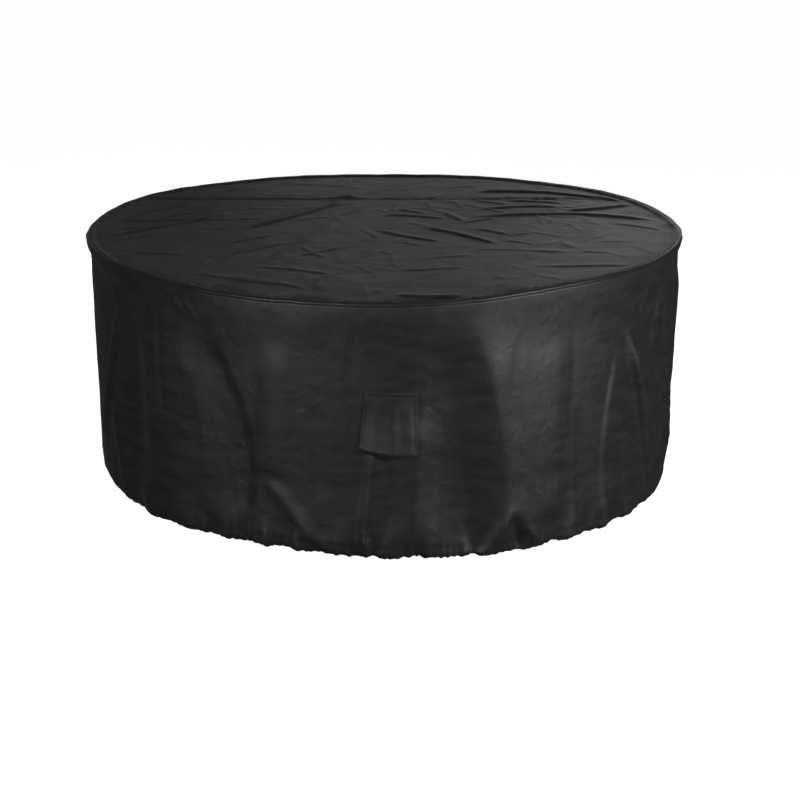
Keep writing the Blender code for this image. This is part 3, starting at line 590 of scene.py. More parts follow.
# --- the top ------------------------------------------------------------------------------
def panel_reach(azimuth):
    """Distance of the top cloth's round edge from the middle."""
    lap = EDGE_LAP * smooth(*EDGE_LAP_FADE, np.abs(wrapped(azimuth)))
    return PANEL_RADIUS + lap + round_value(RIM_POINTS, azimuth, "reach")


def top_fold_rise(fold, x, y):
    """Height that one fold gives each point, and 0 away from it."""
    run_x, run_y = fold.end[0] - fold.start[0], fold.end[1] - fold.start[1]
    length = math.hypot(run_x, run_y)
    from_x, from_y = x - fold.start[0], y - fold.start[1]
    t = (from_x * run_x + from_y * run_y) / length ** 2
    rightwards = (from_x * run_y - from_y * run_x) / length
    fade = plateau(0.0, TOP_FOLD_FADE, 1.0 - TOP_FOLD_FADE, 1.0, t)
    middle = np.clip(t, 0.0, 1.0)
    bowed = rightwards + 4.0 * fold.bow * middle * (1.0 - middle)
    behind = bowed * run_x < 0.0
    width = fold.width * at_least(TOP_FOLD_END_WIDTH, fade) * np.where(behind, TOP_FOLD_BACK, 1.0)
    return fold.rise * fade * crest(bowed, width, fold.crisp)


def scattered_top_folds():
    """Small creases between the main ones, running out from where the seam was drawn up."""
    draw = random.Random(TOP_CREASE_SEED)
    folds = []
    while len(folds) < TOP_CREASES:
        radius = PANEL_RADIUS * math.sqrt(draw.random())
        turn = draw.uniform(-math.pi, math.pi)
        x, y = radius * math.cos(turn), radius * math.sin(turn)
        heading = math.atan2(y - PUCKER_KNOT[1], x - PUCKER_KNOT[0])
        heading += draw.gauss(0.0, TOP_CREASE_SWERVE)
        length = draw.uniform(*TOP_CREASE_LENGTHS)
        start = (x - 0.5 * length * math.cos(heading), y - 0.5 * length * math.sin(heading))
        end = (x + 0.5 * length * math.cos(heading), y + 0.5 * length * math.sin(heading))
        if max(math.hypot(*start), math.hypot(*end)) < PANEL_RADIUS:
            folds.append(TopFold(
                start, end, draw.uniform(-TOP_CREASE_BOW, TOP_CREASE_BOW) * length,
                draw.uniform(*TOP_CREASE_WIDTHS), draw.uniform(*TOP_CREASE_RISES),
                TOP_CREASE_CRISP,
            ))
    return folds


def seam_sway(x, y):
    """How far the puckers pull the cross seam and the cloth by it to the back or the front."""
    along = np.stack([x, np.zeros_like(x), np.zeros_like(x)], axis=-1)
    lively = at_least(SEAM_SWAY_LEAST, plateau(*SEAM_SWAY_PLACES, x))
    return lively * waves_at(along, *SEAM_SWAYS) * smooth(SEAM_SWAY_REACH, 0.0, np.abs(y - SEAM_Y))


def seam_pucker(x, away):
    """The cross seam's own unevenness: short puckers that stand across it, and its knot."""
    along = np.stack([x, away * SEAM_PUCKER_STRETCH, np.zeros_like(x)], axis=-1)
    wide = unevenness(along, SEAM_PUCKERS.width, SEAM_PUCKERS.seed)
    reach = SEAM_PUCKER_REACH + SEAM_PUCKER_SPREAD * wide
    strength = at_least(SEAM_PUCKER_LEAST, plateau(*SEAM_PUCKER_PLACES, x))
    drawn_up = waves_at(along, SEAM_BEADS) + SEAM_PUCKERS.height * wide
    from_knot = ((x - SEAM_KNOT[0]) / SEAM_KNOT_SIZE[0]) ** 2
    from_knot += ((away - SEAM_KNOT[1]) / SEAM_KNOT_SIZE[1]) ** 2
    return strength * drawn_up * smooth(reach, 0.0, np.abs(away)) + SEAM_KNOT_RISE * np.exp(-from_knot)


def rim_pucker(azimuth, inward):
    """Puckers where the cloth is drawn up by the welt's stitches, dying out inwards."""
    around = rim_line(azimuth)
    lively = at_least(RIM_PUCKER_LEAST, smooth(*RIM_PUCKER_FADE, np.abs(azimuth - RIM_PUCKER_MIDDLE)))
    wide = waves_at(around, RIM_PUCKERS) * smooth(*RIM_PUCKER_WIDTHS, inward)
    narrow = waves_at(around, RIM_BEADS) * smooth(*RIM_BEAD_WIDTHS, inward)
    return lively * (wide + narrow)


def rim_wobble(azimuth):
    """The rim's small rise and fall, in which piping and both cloths move as one."""
    lively = at_least(WOBBLE_LEAST, smooth(*WOBBLE_FADE, np.abs(azimuth - WOBBLE_MIDDLE)))
    return lively * waves_at(rim_line(azimuth), *RIM_WOBBLES)


def top_height(x, y, folds):
    """Height of the top cloth's underside."""
    azimuth = azimuth_of(x, y)
    reach = panel_reach(azimuth)
    share = np.hypot(x, y) / reach
    inward = reach - np.hypot(x, y)
    ridges = np.zeros_like(x)
    for fold in folds:
        middle_x, middle_y = (fold.start[0] + fold.end[0]) / 2, (fold.start[1] + fold.end[1]) / 2
        span = math.dist(fold.start, fold.end) / 2 + abs(fold.bow) + TOP_FOLD_BACK * fold.width
        here = np.hypot(x - middle_x, y - middle_y) < span
        ridges[here] = np.maximum(ridges[here], top_fold_rise(fold, x[here], y[here]))
    seam = SEAM_RISE * crest(y - SEAM_Y, SEAM_FOOT, SEAM_CRISP)
    waves = waves_at(np.stack([x, y, np.zeros_like(x)], axis=-1), *TOP_WAVES)
    height = np.maximum(ridges, seam) + seam_pucker(x, y - SEAM_Y) + waves
    height = height * smooth(*TOP_SMOOTH_SHARES, share)
    height += rim_pucker(azimuth, inward) * smooth(0.0, RIM_PUCKER_SEAM, inward)
    height += rim_wobble(azimuth) * smooth(WOBBLE_WIDTH, 0.0, inward)
    rim = (round_value(RIM_POINTS, azimuth, "rise") - EDGE_DIP) * smooth(*RIM_SETTLE_SHARES, share)
    return height + rim + EDGE_CLIMB * smooth(*EDGE_CLIMB_WIDTHS, inward)


def top_place(x, y, folds):
    """Where each spot of the flat panels lies."""
    z = top_height(x, y, folds) + SOLID_CLOTH
    return np.column_stack([x, y + seam_sway(x, y), z])


def panel_edge(seam, front):
    """The panel's flat outline: its arc, then back along the cross seam."""
    side = math.degrees(math.acos(-seam / PANEL_RADIUS))
    left_reach, right_reach = panel_reach(np.array([-side, side]))
    left = -math.degrees(math.acos(-seam / left_reach))
    right = math.degrees(math.acos(-seam / right_reach))
    first, last = (left, right) if front else (right, 360.0 + left)
    count = int(math.radians(last - first) * PANEL_RADIUS / TOP_PITCH)
    azimuth = np.linspace(first, last, count)
    arc = ring_place(azimuth, panel_reach(azimuth), np.zeros_like(azimuth))[:, :2]
    pieces = int(abs(arc[0, 0] - arc[-1, 0]) / TOP_PITCH)
    share = np.arange(1, pieces)[:, None] / pieces
    return np.concatenate([arc, arc[-1] + (arc[0] - arc[-1]) * share])


def top_panel(name, front, folds):
    """One panel of the top, cut flat on a fine triangular lattice and then laid."""
    seam = SEAM_Y - SEW_GAP / 2 if front else SEAM_Y + SEW_GAP / 2
    edge = panel_edge(seam, front)
    row_height = TOP_PITCH * math.sqrt(3.0) / 2.0
    lattice = []
    for row in range(int(2 * LATTICE_REACH / row_height)):
        y = -LATTICE_REACH + row * row_height
        x = np.arange(-LATTICE_REACH + 0.5 * TOP_PITCH * (row % 2), LATTICE_REACH, TOP_PITCH)
        lattice.append(np.stack([x, np.full_like(x, y)], axis=-1))
    lattice = np.concatenate(lattice)
    within = np.hypot(*lattice.T) < panel_reach(azimuth_of(*lattice.T)) - LATTICE_MARGIN
    depth = lattice[:, 1]
    side = depth < seam - LATTICE_MARGIN if front else depth > seam + LATTICE_MARGIN
    flat = np.concatenate([edge, lattice[within & side]])
    count = len(edge)
    made = delaunay_2d_cdt(
        [Vector(point) for point in flat.tolist()],
        [(i, (i + 1) % count) for i in range(count)], [list(range(count))], 1, 1e-6,
    )
    flat = np.array([tuple(point) for point in made[0]])
    piece = piece_from(name, [(x, y, 0.0) for x, y in flat.tolist()], [list(face) for face in made[2]])
    lay_cloth_map(piece, flat)
    move_points(piece, top_place(flat[:, 0], flat[:, 1], folds))
    give_thickness(piece, CLOTH, -1.0)
    return piece


# --- the rim ------------------------------------------------------------------------------
def rim_welt(name):
    """The rolled piping, with the small ripples that its stitches leave."""
    start_fresh()
    bpy.ops.mesh.primitive_torus_add(
        major_segments=WELT_COLUMNS, minor_segments=WELT_SIDES,
        major_radius=WELT_LINE, minor_radius=WELT_WIDTH / 2,
    )
    piece = bpy.context.object
    piece.name = piece.data.name = name
    x, y, level = points_of(piece).T
    azimuth = azimuth_of(x, y)
    outwards = np.hypot(x, y) - WELT_LINE
    upwards = level * WELT_HEIGHT / WELT_WIDTH
    angle = np.radians(azimuth)
    ripple = np.sin(WELT_RIPPLES * angle + 3.0 * np.sin(9 * angle)) * (0.6 + 0.4 * np.sin(17 * angle))
    wander = np.sin(WELT_WANDERS * angle + 1.2 * np.sin(5 * angle))
    swell = 1.0 + WELT_RIPPLE_SWELL * ripple + WELT_WANDER_SWELL * wander
    radius = WELT_LINE + outwards * swell
    radius += round_value(RIM_POINTS, azimuth, "reach") + WELT_WANDER * wander
    wobble = rim_wobble(azimuth)
    radius -= WOBBLE_INWARDS * wobble
    z = round_value(RIM_POINTS, azimuth, "rise") - WELT_DROP + upwards * swell + wobble
    move_points(piece, ring_place(azimuth, radius, z))
    across = np.arctan2(upwards, outwards) * WELT_WIDTH / 2
    lay_cloth_map(piece, np.stack([angle * COVER_RADIUS, across], axis=-1))
    piece.data.shade_smooth()
    return piece


# --- the skirt ----------------------------------------------------------------------------
def gather(azimuth):
    """The hem's slow ripple, -1 to 1, closer together in some places than in others."""
    angle = np.radians(azimuth)
    drift = 0.9 * np.sin(3 * angle + 0.6) + 0.7 * np.sin(7 * angle + 2.1)
    size = 0.72 + 0.28 * np.sin(5 * angle + 1.0) * np.cos(11 * angle)
    return size * np.sin(GATHERS * angle + drift)


def skirt_fold_rise(fold, azimuth, drop):
    """How far one fold pushes the skirt out."""
    t = (drop - fold.high_drop) / (fold.low_drop - fold.high_drop)
    inner = np.clip(t, 0.0, 1.0)
    middle = fold.high_at + (fold.low_at - fold.high_at) * inner + 4.0 * fold.bow * inner * (1.0 - inner)
    across = wrapped(azimuth - middle)
    width = fold.width * np.where(across < 0.0, fold.soft, 1.0)
    fade = plateau(0.0, SKIRT_FOLD_FADES[0], 1.0 - SKIRT_FOLD_FADES[1], 1.0, t)
    return fold.rise * fade * crest(across, width, fold.crisp)


def scattered_skirt_folds():
    """Small creases all round, steep more often than not."""
    draw = random.Random(SKIRT_CREASE_SEED)
    folds = []
    for _ in range(SKIRT_CREASES):
        azimuth = draw.uniform(-180.0, 180.0)
        drop = draw.uniform(*SKIRT_CREASE_STARTS)
        length = draw.uniform(*SKIRT_CREASE_DROPS)
        lean = draw.gauss(0.0, SKIRT_CREASE_SLANT) * length / METRES_PER_DEGREE
        lean = max(-SKIRT_CREASE_LEAN, min(SKIRT_CREASE_LEAN, lean))
        rise = draw.uniform(*SKIRT_CREASE_RISES) * draw.choice((1.0, 1.0, -1.0))
        folds.append(SkirtFold(
            azimuth, drop, azimuth + lean, min(drop + length, HEM_START),
            draw.uniform(-SKIRT_CREASE_BOW, SKIRT_CREASE_BOW), draw.uniform(*SKIRT_CREASE_WIDTHS),
            rise, 1.0, SKIRT_CREASE_CRISP,
        ))
    return folds


def hem_liveliness(azimuth):
    """1 where the hem is gathered in teeth, and little at both sides, where it is pulled smooth."""
    return 1.0 - SMOOTH_HEM_SHARE * plateau(*SMOOTH_HEM, np.abs(wrapped(azimuth)))


def pleat_section(azimuth, width, seed):
    """Sharp uneven pleats round the hem, 0 to 1, about width metres wide."""
    bumps = unevenness(rim_line(azimuth), PLEAT_SPACING * width, seed)
    return 1.0 - np.minimum(np.abs(bumps) * PLEAT_SHARPNESS, 1.0)


def hem_rise(azimuth, drop):
    """How far the hem's cusps and pleats stand out, and how much each spot is a crest, 0 to 1."""
    rise = np.zeros_like(azimuth)
    crests = np.zeros_like(azimuth)
    for cusp in HEM_CUSPS:
        formed = smooth(CASING_TOP - cusp.reach, CASING_TOP + 0.4 * HEM_CURL, drop)
        width = cusp.width * at_least(CUSP_TOP_WIDTH, formed)
        section = crest(wrapped(azimuth - cusp.azimuth), width, CUSP_CRISP)
        rise += cusp.rise * formed * section
        crests = np.maximum(crests, section)
    for pleats in HEM_PLEATS:
        leaning = azimuth + PLEAT_LEAN * (drop - HEM_START)
        section = pleat_section(leaning, pleats.width, pleats.seed)
        formed = smooth(CASING_TOP - pleats.reach, CASING_TOP + PLEAT_FULL, drop)
        rise += pleats.rise * (section - 0.5) * formed
        crests = np.maximum(crests, PLEAT_CREST * section)
    return rise, crests


def skirt_place(azimuth, drop, folds):
    """Where each point of the flat cloth, at its azimuth and drop, hangs."""
    turn = np.maximum(drop - HEM_START, 0.0) / HEM_CURL
    z = -SKIRT_TOP - np.minimum(drop, HEM_START) - HEM_CURL * np.sin(turn)
    inset = SKIRT_INSET + SKIRT_TAPER * smooth(0.0, HEM_START, drop)
    frontness = smooth(*FLUSH_FRONT, np.abs(wrapped(azimuth)))
    flush_drop = FLUSH_DROPS[0] + (FLUSH_DROPS[1] - FLUSH_DROPS[0]) * frontness
    inset -= RIM_FLUSH * smooth(1.0, 0.0, drop / flush_drop)
    z += RIM_TUCK * smooth(RIM_TUCK_DROP, 0.0, drop)
    wobble = rim_wobble(azimuth) * smooth(WOBBLE_WIDTH, 0.0, drop)
    z += wobble
    inset += WOBBLE_INWARDS * wobble
    inset += HEM_CURL * (1.0 - np.cos(turn))
    z += round_value(HEM_POINTS, azimuth, "lift") * smooth(HEM_LIFT_FROM, HEM_START, drop)
    z += round_value(RIM_POINTS, azimuth, "rise") * smooth(RIM_RISE_FADE, 0.0, drop)
    inset += round_value(HEM_POINTS, azimuth, "draw") * smooth(HEM_DRAW_FROM, SKIRT_LENGTH, drop)
    inset -= round_value(RIM_POINTS, azimuth, "reach") * smooth(RIM_REACH_FADE, 0.0, drop)
    ripple = gather(azimuth) * smooth(HEM_START - GATHER_REACH, HEM_START, drop)
    swell = np.zeros_like(azimuth)
    for fold in folds:
        here = (drop > fold.high_drop) & (drop < fold.low_drop)
        swell[here] += skirt_fold_rise(fold, azimuth[here], drop[here])
    swell += waves_at(ring_place(azimuth, COVER_RADIUS, -drop), *SKIRT_WAVES)
    swell *= smooth(0.0, SKIRT_FOLD_START, drop) * np.maximum(np.cos(turn), 0.0)
    lively = hem_liveliness(azimuth)
    hem, crests = hem_rise(azimuth, drop)
    hem = hem * np.maximum(np.cos(turn), TURNED_HEM_SHARE)
    groove = CASING_GROOVE * np.exp(-((drop - CASING_TOP) / CASING_GROOVE_WIDTH) ** 2)
    swell += lively * (GATHER_DEPTH * ripple + hem) - groove
    teeth = lively * (HEM_TOOTH * (1.0 - crests) - GATHER_SCALLOP * ripple)
    z += teeth * np.sin(np.minimum(turn, math.pi / 2))
    z = np.maximum(z, -COVER_HEIGHT - HEM_SINK)
    puckers = SKIRT_PUCKER_SHARE * rim_pucker(azimuth, drop + SKIRT_PUCKER_START)
    puckers *= smooth(0.0, SKIRT_PUCKER_DROP, drop)
    return ring_place(azimuth, COVER_RADIUS - inset + swell + puckers, z)


def column_azimuths(share):
    """Azimuths of the columns, closer together at the front than at the back."""
    return 360.0 * (share - 0.5) - SKIRT_FRONT_CROWD * np.sin(2.0 * math.pi * (share - 0.5))


def row_drops(share):
    """Drops of the rows: they crowd together at the rim and at the hem."""
    crowded = share - SKIRT_ROW_CROWD * np.sin(4.0 * math.pi * share) / (4.0 * math.pi)
    crowded -= 0.5 * SKIRT_ROW_CROWD * np.sin(2.0 * math.pi * share) / (2.0 * math.pi)
    return crowded * SKIRT_LENGTH


def skirt(name, folds):
    piece, across, down = flat_grid(name, SKIRT_COLUMNS, SKIRT_ROWS)
    azimuth, drop = column_azimuths(across), row_drops(down)
    lay_cloth_map(piece, np.stack([azimuth * METRES_PER_DEGREE, -drop], axis=-1))
    move_points(piece, skirt_place(azimuth, drop, folds))
    close_round(piece)
    give_thickness(piece, CLOTH, -1.0)
    return piece


# --- the vent flap ------------------------------------------------------------------------
def flap_spot(u, v):
    """Azimuth and height of the spot at share u across the flap and v down it."""
    corner = {name: np.array(place) for name, place in FLAP_CORNERS.items()}
    upper = corner["top left"] + (corner["top right"] - corner["top left"]) * u[:, None]
    lower = corner["low left"] + (corner["low right"] - corner["low left"]) * u[:, None]
    azimuth, height = (upper + (lower - upper) * v[:, None]).T
    return azimuth, height - FLAP_SAG * v ** 3 * np.sin(math.pi * u)


def vent_flap(name, cloth):
    """A flap sewn to the skirt along its top and sides, standing off it at its lower edge."""
    piece, u, v = flat_grid(name, FLAP_COLUMNS, FLAP_ROWS)
    lay_cloth_map(piece, np.stack([u * FLAP_SIZE[0], -v * FLAP_SIZE[1]], axis=-1))
    azimuth, height = flap_spot(u, v)
    outwards = ring_place(azimuth, 1.0, np.zeros_like(azimuth))
    begin = ring_place(azimuth, 1.2 * COVER_RADIUS, height)
    sewn = np.array([
        tuple(cloth.ray_cast(Vector(point), -Vector(way))[0])
        for point, way in zip(begin.tolist(), outwards.tolist())
    ])
    reach = np.hypot(sewn[:, 0], sewn[:, 1]).reshape(FLAP_ROWS + 1, FLAP_COLUMNS + 1)
    one_row = u[:FLAP_COLUMNS + 1]
    left = reach[:, np.argmin(one_row)]
    right = reach[:, np.argmax(one_row)]
    taut = left[:, None] + (right - left)[:, None] * u.reshape(reach.shape)
    stand_off = (taut - reach).ravel() * smooth(*FLAP_TAUT_SHARES, v)
    stand_off += 2.0 * SEW_GAP + FLAP_BULGE * v * v * np.sin(math.pi * u) ** 0.7
    to_side = np.minimum(u, 1.0 - u) * FLAP_SIZE[0]
    to_foot = (1.0 - v) * FLAP_SIZE[1]
    to_edge = np.minimum(np.minimum(to_side, v * FLAP_SIZE[1]), to_foot)
    stand_off += FLAP_SEAM_RISE * smooth(*FLAP_SEAM_WIDTHS, to_edge)
    stand_off += FLAP_HEM_RISE * smooth(*FLAP_HEM_WIDTHS, to_foot)
    for fold in FLAP_FOLDS:
        middle = fold.top_at + (fold.low_at - fold.top_at) * v
        section = crest(u - middle, fold.width, FLAP_FOLD_CRISP)
        stand_off += fold.rise * plateau(*FLAP_FOLD_SHARES, v) * section
    stand_off += waves_at(sewn, FLAP_WAVE) * smooth(0.0, FLAP_WAVE_EDGE, to_edge)
    stand_off -= FLAP_CURL * smooth(FLAP_CURL_WIDTH, 0.0, to_foot) * np.sin(math.pi * u) ** 0.5
    stand_off = np.maximum(stand_off, SEW_GAP)
    move_points(piece, sewn + outwards * stand_off[:, None])
    give_thickness(piece, CLOTH, 1.0)
    return piece


# --- stitches -----------------------------------------------------------------------------
def one_stitch():
    """A plump stitch along X, and its triangles and quads."""
    start_fresh()
    bpy.ops.mesh.primitive_uv_sphere_add(segments=6, ring_count=4, radius=0.5)
    model = bpy.context.object
    model.data.transform(Matrix.Rotation(math.pi / 2, 4, "Y"))
    shape = np.array([tuple(vertex.co) for vertex in model.data.vertices])
    faces = [tuple(face.vertices) for face in model.data.polygons]
    bpy.data.objects.remove(model, do_unlink=True)
    return shape * (STITCH_LENGTH, STITCH_WIDTH, STITCH_HEIGHT), faces


def walk(places):
    """Middles and directions of stitches, a pitch apart, along a line of places."""
    steps = np.linalg.norm(np.diff(places, axis=0), axis=1)
    along = np.concatenate([[0.0], np.cumsum(steps)])
    count = max(1, int(along[-1] / STITCH_PITCH))
    at = (np.arange(count) + 0.5) * along[-1] / count

    def place_at(distance):
        return np.stack([np.interp(distance, along, places[:, axis]) for axis in range(3)], axis=-1)

    return place_at(at), place_at(at + WALK_STEP) - place_at(at - WALK_STEP)


def stitch_rows(name, lines, cloth):
    """Every stitch of the lines, lying on the cloth and joined as one piece."""
    shape, shape_faces = one_stitch()
    draw = random.Random(len(lines))
    points, faces = [], []
    for line in lines:
        middles, ways = walk(line)
        for middle, way in zip(middles.tolist(), ways.tolist()):
            spot, out, _, _ = cloth.find_nearest(Vector(middle))
            ahead = (Vector(way) - out * Vector(way).dot(out)).normalized()
            turn = Matrix((ahead, out.cross(ahead), out)).transposed()
            turn = turn @ Matrix.Rotation(draw.gauss(0.0, STITCH_SKEW), 3, "Z")
            placed = shape @ np.array(turn).T + np.array(spot + out * STITCH_LIFT * STITCH_HEIGHT)
            first = len(points) * len(shape)
            points.append(placed)
            faces += [tuple(first + index for index in face) for face in shape_faces]
    piece = piece_from(name, np.concatenate(points).tolist(), faces)
    piece.data.shade_smooth()
    return piece


def seam_lines(folds):
    """The two rows that hold the cross seam down."""
    lines = []
    for row in SEAM_ROWS:
        reach = math.sqrt(PANEL_RADIUS ** 2 - SEAM_Y ** 2) - SEAM_ROW_END
        x = np.arange(-reach, reach, LINE_STEP)
        y = np.full_like(x, SEAM_Y + row)
        lines.append(top_place(x, y, folds))
    return lines


def casing_line(folds):
    azimuth = np.arange(-180.0, 180.01, LINE_STEP_ROUND)
    return skirt_place(azimuth, np.full_like(azimuth, CASING_TOP), folds)


def flap_lines():
    """The rows round the flap's three sewn sides, and the one over its open edge."""
    near_u, near_v = FLAP_EDGE_ROW / FLAP_SIZE[0], FLAP_EDGE_ROW / FLAP_SIZE[1]
    hem_v = 1.0 - FLAP_HEM_ROW / FLAP_SIZE[1]
    runs = (
        ((near_u, near_v), (1.0 - near_u, near_v)), ((near_u, near_v), (near_u, 1.0 - near_v)),
        ((1.0 - near_u, near_v), (1.0 - near_u, 1.0 - near_v)), ((near_u, hem_v), (1.0 - near_u, hem_v)),
    )
    lines = []
    for (u0, v0), (u1, v1) in runs:
        t = np.linspace(0.0, 1.0, FLAP_LINE_PLACES)
        azimuth, height = flap_spot(u0 + (u1 - u0) * t, v0 + (v1 - v0) * t)
        lines.append(ring_place(azimuth, np.full_like(azimuth, FLAP_LINE_RADIUS), height))
    return lines


# --- finishes -----------------------------------------------------------------------------
def add_node(tree, kind, place, **settings):
    made = tree.nodes.new(kind)
    made.location = place
    for name, value in settings.items():
        setattr(made, name, value)
    return made


def set_inputs(made, **values):
    for name, value in values.items():
        made.inputs[name.replace("_", " ")].default_value = value


def new_material(name):
    """A new material, its node tree and its Principled shader."""
    material = bpy.data.materials.new(name)
    material.use_nodes = True
    tree = material.node_tree
    return material, tree, tree.nodes["Principled BSDF"]


def coated_weave_group():
    """Colour, roughness and relief of a coated plain weave, from a cloth map in metres."""
    group = bpy.data.node_groups.new("coated weave", "ShaderNodeTree")
    face = group.interface
    face.new_socket("Cloth Map", in_out="INPUT", socket_type="NodeSocketVector")
    for name, value in (
        ("Thread", 0.0011), ("Dark", 0.012), ("Light", 0.020), ("Smooth", 0.42), ("Rough", 0.56),
        ("Weave Depth", 0.35), ("Crumple Depth", 0.5),
    ):
        face.new_socket(name, in_out="INPUT", socket_type="NodeSocketFloat").default_value = value
    face.new_socket("Color", in_out="OUTPUT", socket_type="NodeSocketColor")
    face.new_socket("Roughness", in_out="OUTPUT", socket_type="NodeSocketFloat")
    face.new_socket("Height", in_out="OUTPUT", socket_type="NodeSocketFloat")
    takes = add_node(group, "NodeGroupInput", (-1200, 0))
    gives = add_node(group, "NodeGroupOutput", (900, 0))
    link = group.links.new

    def sum_node(operation, place, *values):
        made = add_node(group, "ShaderNodeMath", place, operation=operation)
        for socket, value in zip(made.inputs, values):
            if isinstance(value, (int, float)):
                socket.default_value = value
            else:
                link(value, socket)
        return made.outputs[0]

    def noise_node(noise_type, place, source, **values):
        made = add_node(group, "ShaderNodeTexNoise", place, noise_type=noise_type)
        set_inputs(made, **values)
        link(source, made.inputs["Vector"])
        return made.outputs["Fac"]

    def mottled(place, low, high):
        """The mottle, spread from one of the group's values to another."""
        made = add_node(group, "ShaderNodeMapRange", place)
        link(mottle, made.inputs["Value"])
        set_inputs(made, From_Min=MOTTLE_SPAN[0], From_Max=MOTTLE_SPAN[1])
        link(takes.outputs[low], made.inputs["To Min"])
        link(takes.outputs[high], made.inputs["To Max"])
        return made.outputs[0]

    # the weave: over and under, a thread apart
    cloth_map = takes.outputs["Cloth Map"]
    apart = add_node(group, "ShaderNodeSeparateXYZ", (-1000, 200))
    link(cloth_map, apart.inputs[0])
    rate = sum_node("DIVIDE", (-1000, 350), math.pi, takes.outputs["Thread"])
    warp = sum_node("SINE", (-600, 300), sum_node("MULTIPLY", (-800, 300), apart.outputs["X"], rate))
    weft = sum_node("SINE", (-600, 150), sum_node("MULTIPLY", (-800, 150), apart.outputs["Y"], rate))
    weave = sum_node("MULTIPLY", (-400, 220), warp, weft)

    # the crumple: crisp small lines, broken up by a slow cloud
    crumple = noise_node(
        "RIDGED_MULTIFRACTAL", (-800, -100), cloth_map,
        Scale=22.0, Detail=4.0, Roughness=0.55, Lacunarity=2.1, Distortion=0.6,
    )
    drawn_out = add_node(group, "ShaderNodeMapping", (-1000, -350))
    set_inputs(drawn_out, Scale=(0.6, 2.0, 1.0))
    link(cloth_map, drawn_out.inputs["Vector"])
    cloud = noise_node(
        "FBM", (-800, -350), drawn_out.outputs[0], Scale=14.0, Detail=5.0, Roughness=0.65,
    )
    grain = noise_node("FBM", (-800, -600), cloth_map, Scale=260.0, Detail=2.0, Roughness=0.5)

    # colour and roughness follow the mottle
    cloudy = sum_node("MULTIPLY", (-500, -400), cloud, CLOUD_SHARE)
    grainy = sum_node("MULTIPLY", (-500, -550), grain, GRAIN_SHARE)
    mottle = sum_node("ADD", (-350, -400), cloudy, grainy)
    shade = mottled((-100, -300), "Dark", "Light")
    tone = add_node(group, "ShaderNodeCombineColor", (200, -300))
    link(shade, tone.inputs[0])
    link(shade, tone.inputs[1])
    link(sum_node("MULTIPLY", (50, -450), shade, BLUE_CAST), tone.inputs[2])
    link(tone.outputs[0], gives.inputs["Color"])
    link(mottled((-100, -600), "Smooth", "Rough"), gives.inputs["Roughness"])

    # the relief: threads, and a crumple that comes and goes
    broken = sum_node("MULTIPLY", (-300, -100), crumple, cloud)
    weave_depth = sum_node("MULTIPLY", (-100, 250), takes.outputs["Weave Depth"], WEAVE_UNIT)
    crumple_depth = sum_node("MULTIPLY", (-100, 100), takes.outputs["Crumple Depth"], CRUMPLE_UNIT)
    threads = sum_node("MULTIPLY", (100, 150), weave, weave_depth)
    crumples = sum_node("MULTIPLY", (100, 0), broken, crumple_depth)
    link(sum_node("ADD", (300, 50), threads, crumples), gives.inputs["Height"])
    return group


def cloth_finish(name, group, sheen, **values):
    """A Principled finish fed by the coated weave."""
    material, tree, shader = new_material(name)
    shader.location = (600, 0)
    cloth_map = add_node(tree, "ShaderNodeUVMap", (-400, 0), uv_map="cloth")
    weave = add_node(tree, "ShaderNodeGroup", (-100, 0), node_tree=group)
    set_inputs(weave, **values)
    relief = add_node(tree, "ShaderNodeBump", (300, -200))
    set_inputs(relief, Strength=1.0, Distance=1.0)
    tree.links.new(cloth_map.outputs["UV"], weave.inputs["Cloth Map"])
    tree.links.new(weave.outputs["Color"], shader.inputs["Base Color"])
    tree.links.new(weave.outputs["Roughness"], shader.inputs["Roughness"])
    tree.links.new(weave.outputs["Height"], relief.inputs["Height"])
    tree.links.new(relief.outputs["Normal"], shader.inputs["Normal"])
    set_inputs(shader, Metallic=0.0, IOR=1.45, Specular_IOR_Level=0.5)
    set_inputs(shader, Sheen_Weight=sheen, Sheen_Roughness=0.45)
    return material


def thread_finish():
    """Black polyester thread, a little glossier than the cloth, with its twist."""
    material, tree, shader = new_material("sewing thread")
    place = add_node(tree, "ShaderNodeTexCoord", (-700, 0))
    twist = add_node(tree, "ShaderNodeTexNoise", (-450, 0))
    set_inputs(twist, Scale=900.0, Detail=2.0, Roughness=0.5)
    tone = add_node(tree, "ShaderNodeMapRange", (-200, 100))
    set_inputs(tone, To_Min=0.016, To_Max=0.034)
    gloss = add_node(tree, "ShaderNodeMapRange", (-200, -150))
    set_inputs(gloss, To_Min=0.34, To_Max=0.50)
    tree.links.new(place.outputs["Object"], twist.inputs["Vector"])
    tree.links.new(twist.outputs["Fac"], tone.inputs["Value"])
    tree.links.new(twist.outputs["Fac"], gloss.inputs["Value"])
    tree.links.new(tone.outputs[0], shader.inputs["Base Color"])
    tree.links.new(gloss.outputs[0], shader.inputs["Roughness"])
    return material


# --- studio -------------------------------------------------------------------------------
def studio_floor():
    start_fresh()
    bpy.ops.mesh.primitive_plane_add(size=60.0, location=(0.0, 0.0, FLOOR_LEVEL))
    floor = bpy.context.object
    floor.name = "studio_floor"
    floor.data.transform(floor.matrix_world)
    floor.matrix_world = Matrix.Identity(4)
    material, _, shader = new_material("pale floor")
    set_inputs(shader, Base_Color=(0.80, 0.80, 0.80, 1.0), Roughness=0.9, Specular_IOR_Level=0.0)
    set_inputs(shader, Emission_Color=(1.0, 1.0, 1.0, 1.0), Emission_Strength=0.97)
    floor.data.materials.append(material)
    floor.visible_glossy = False
    floor.visible_diffuse = False


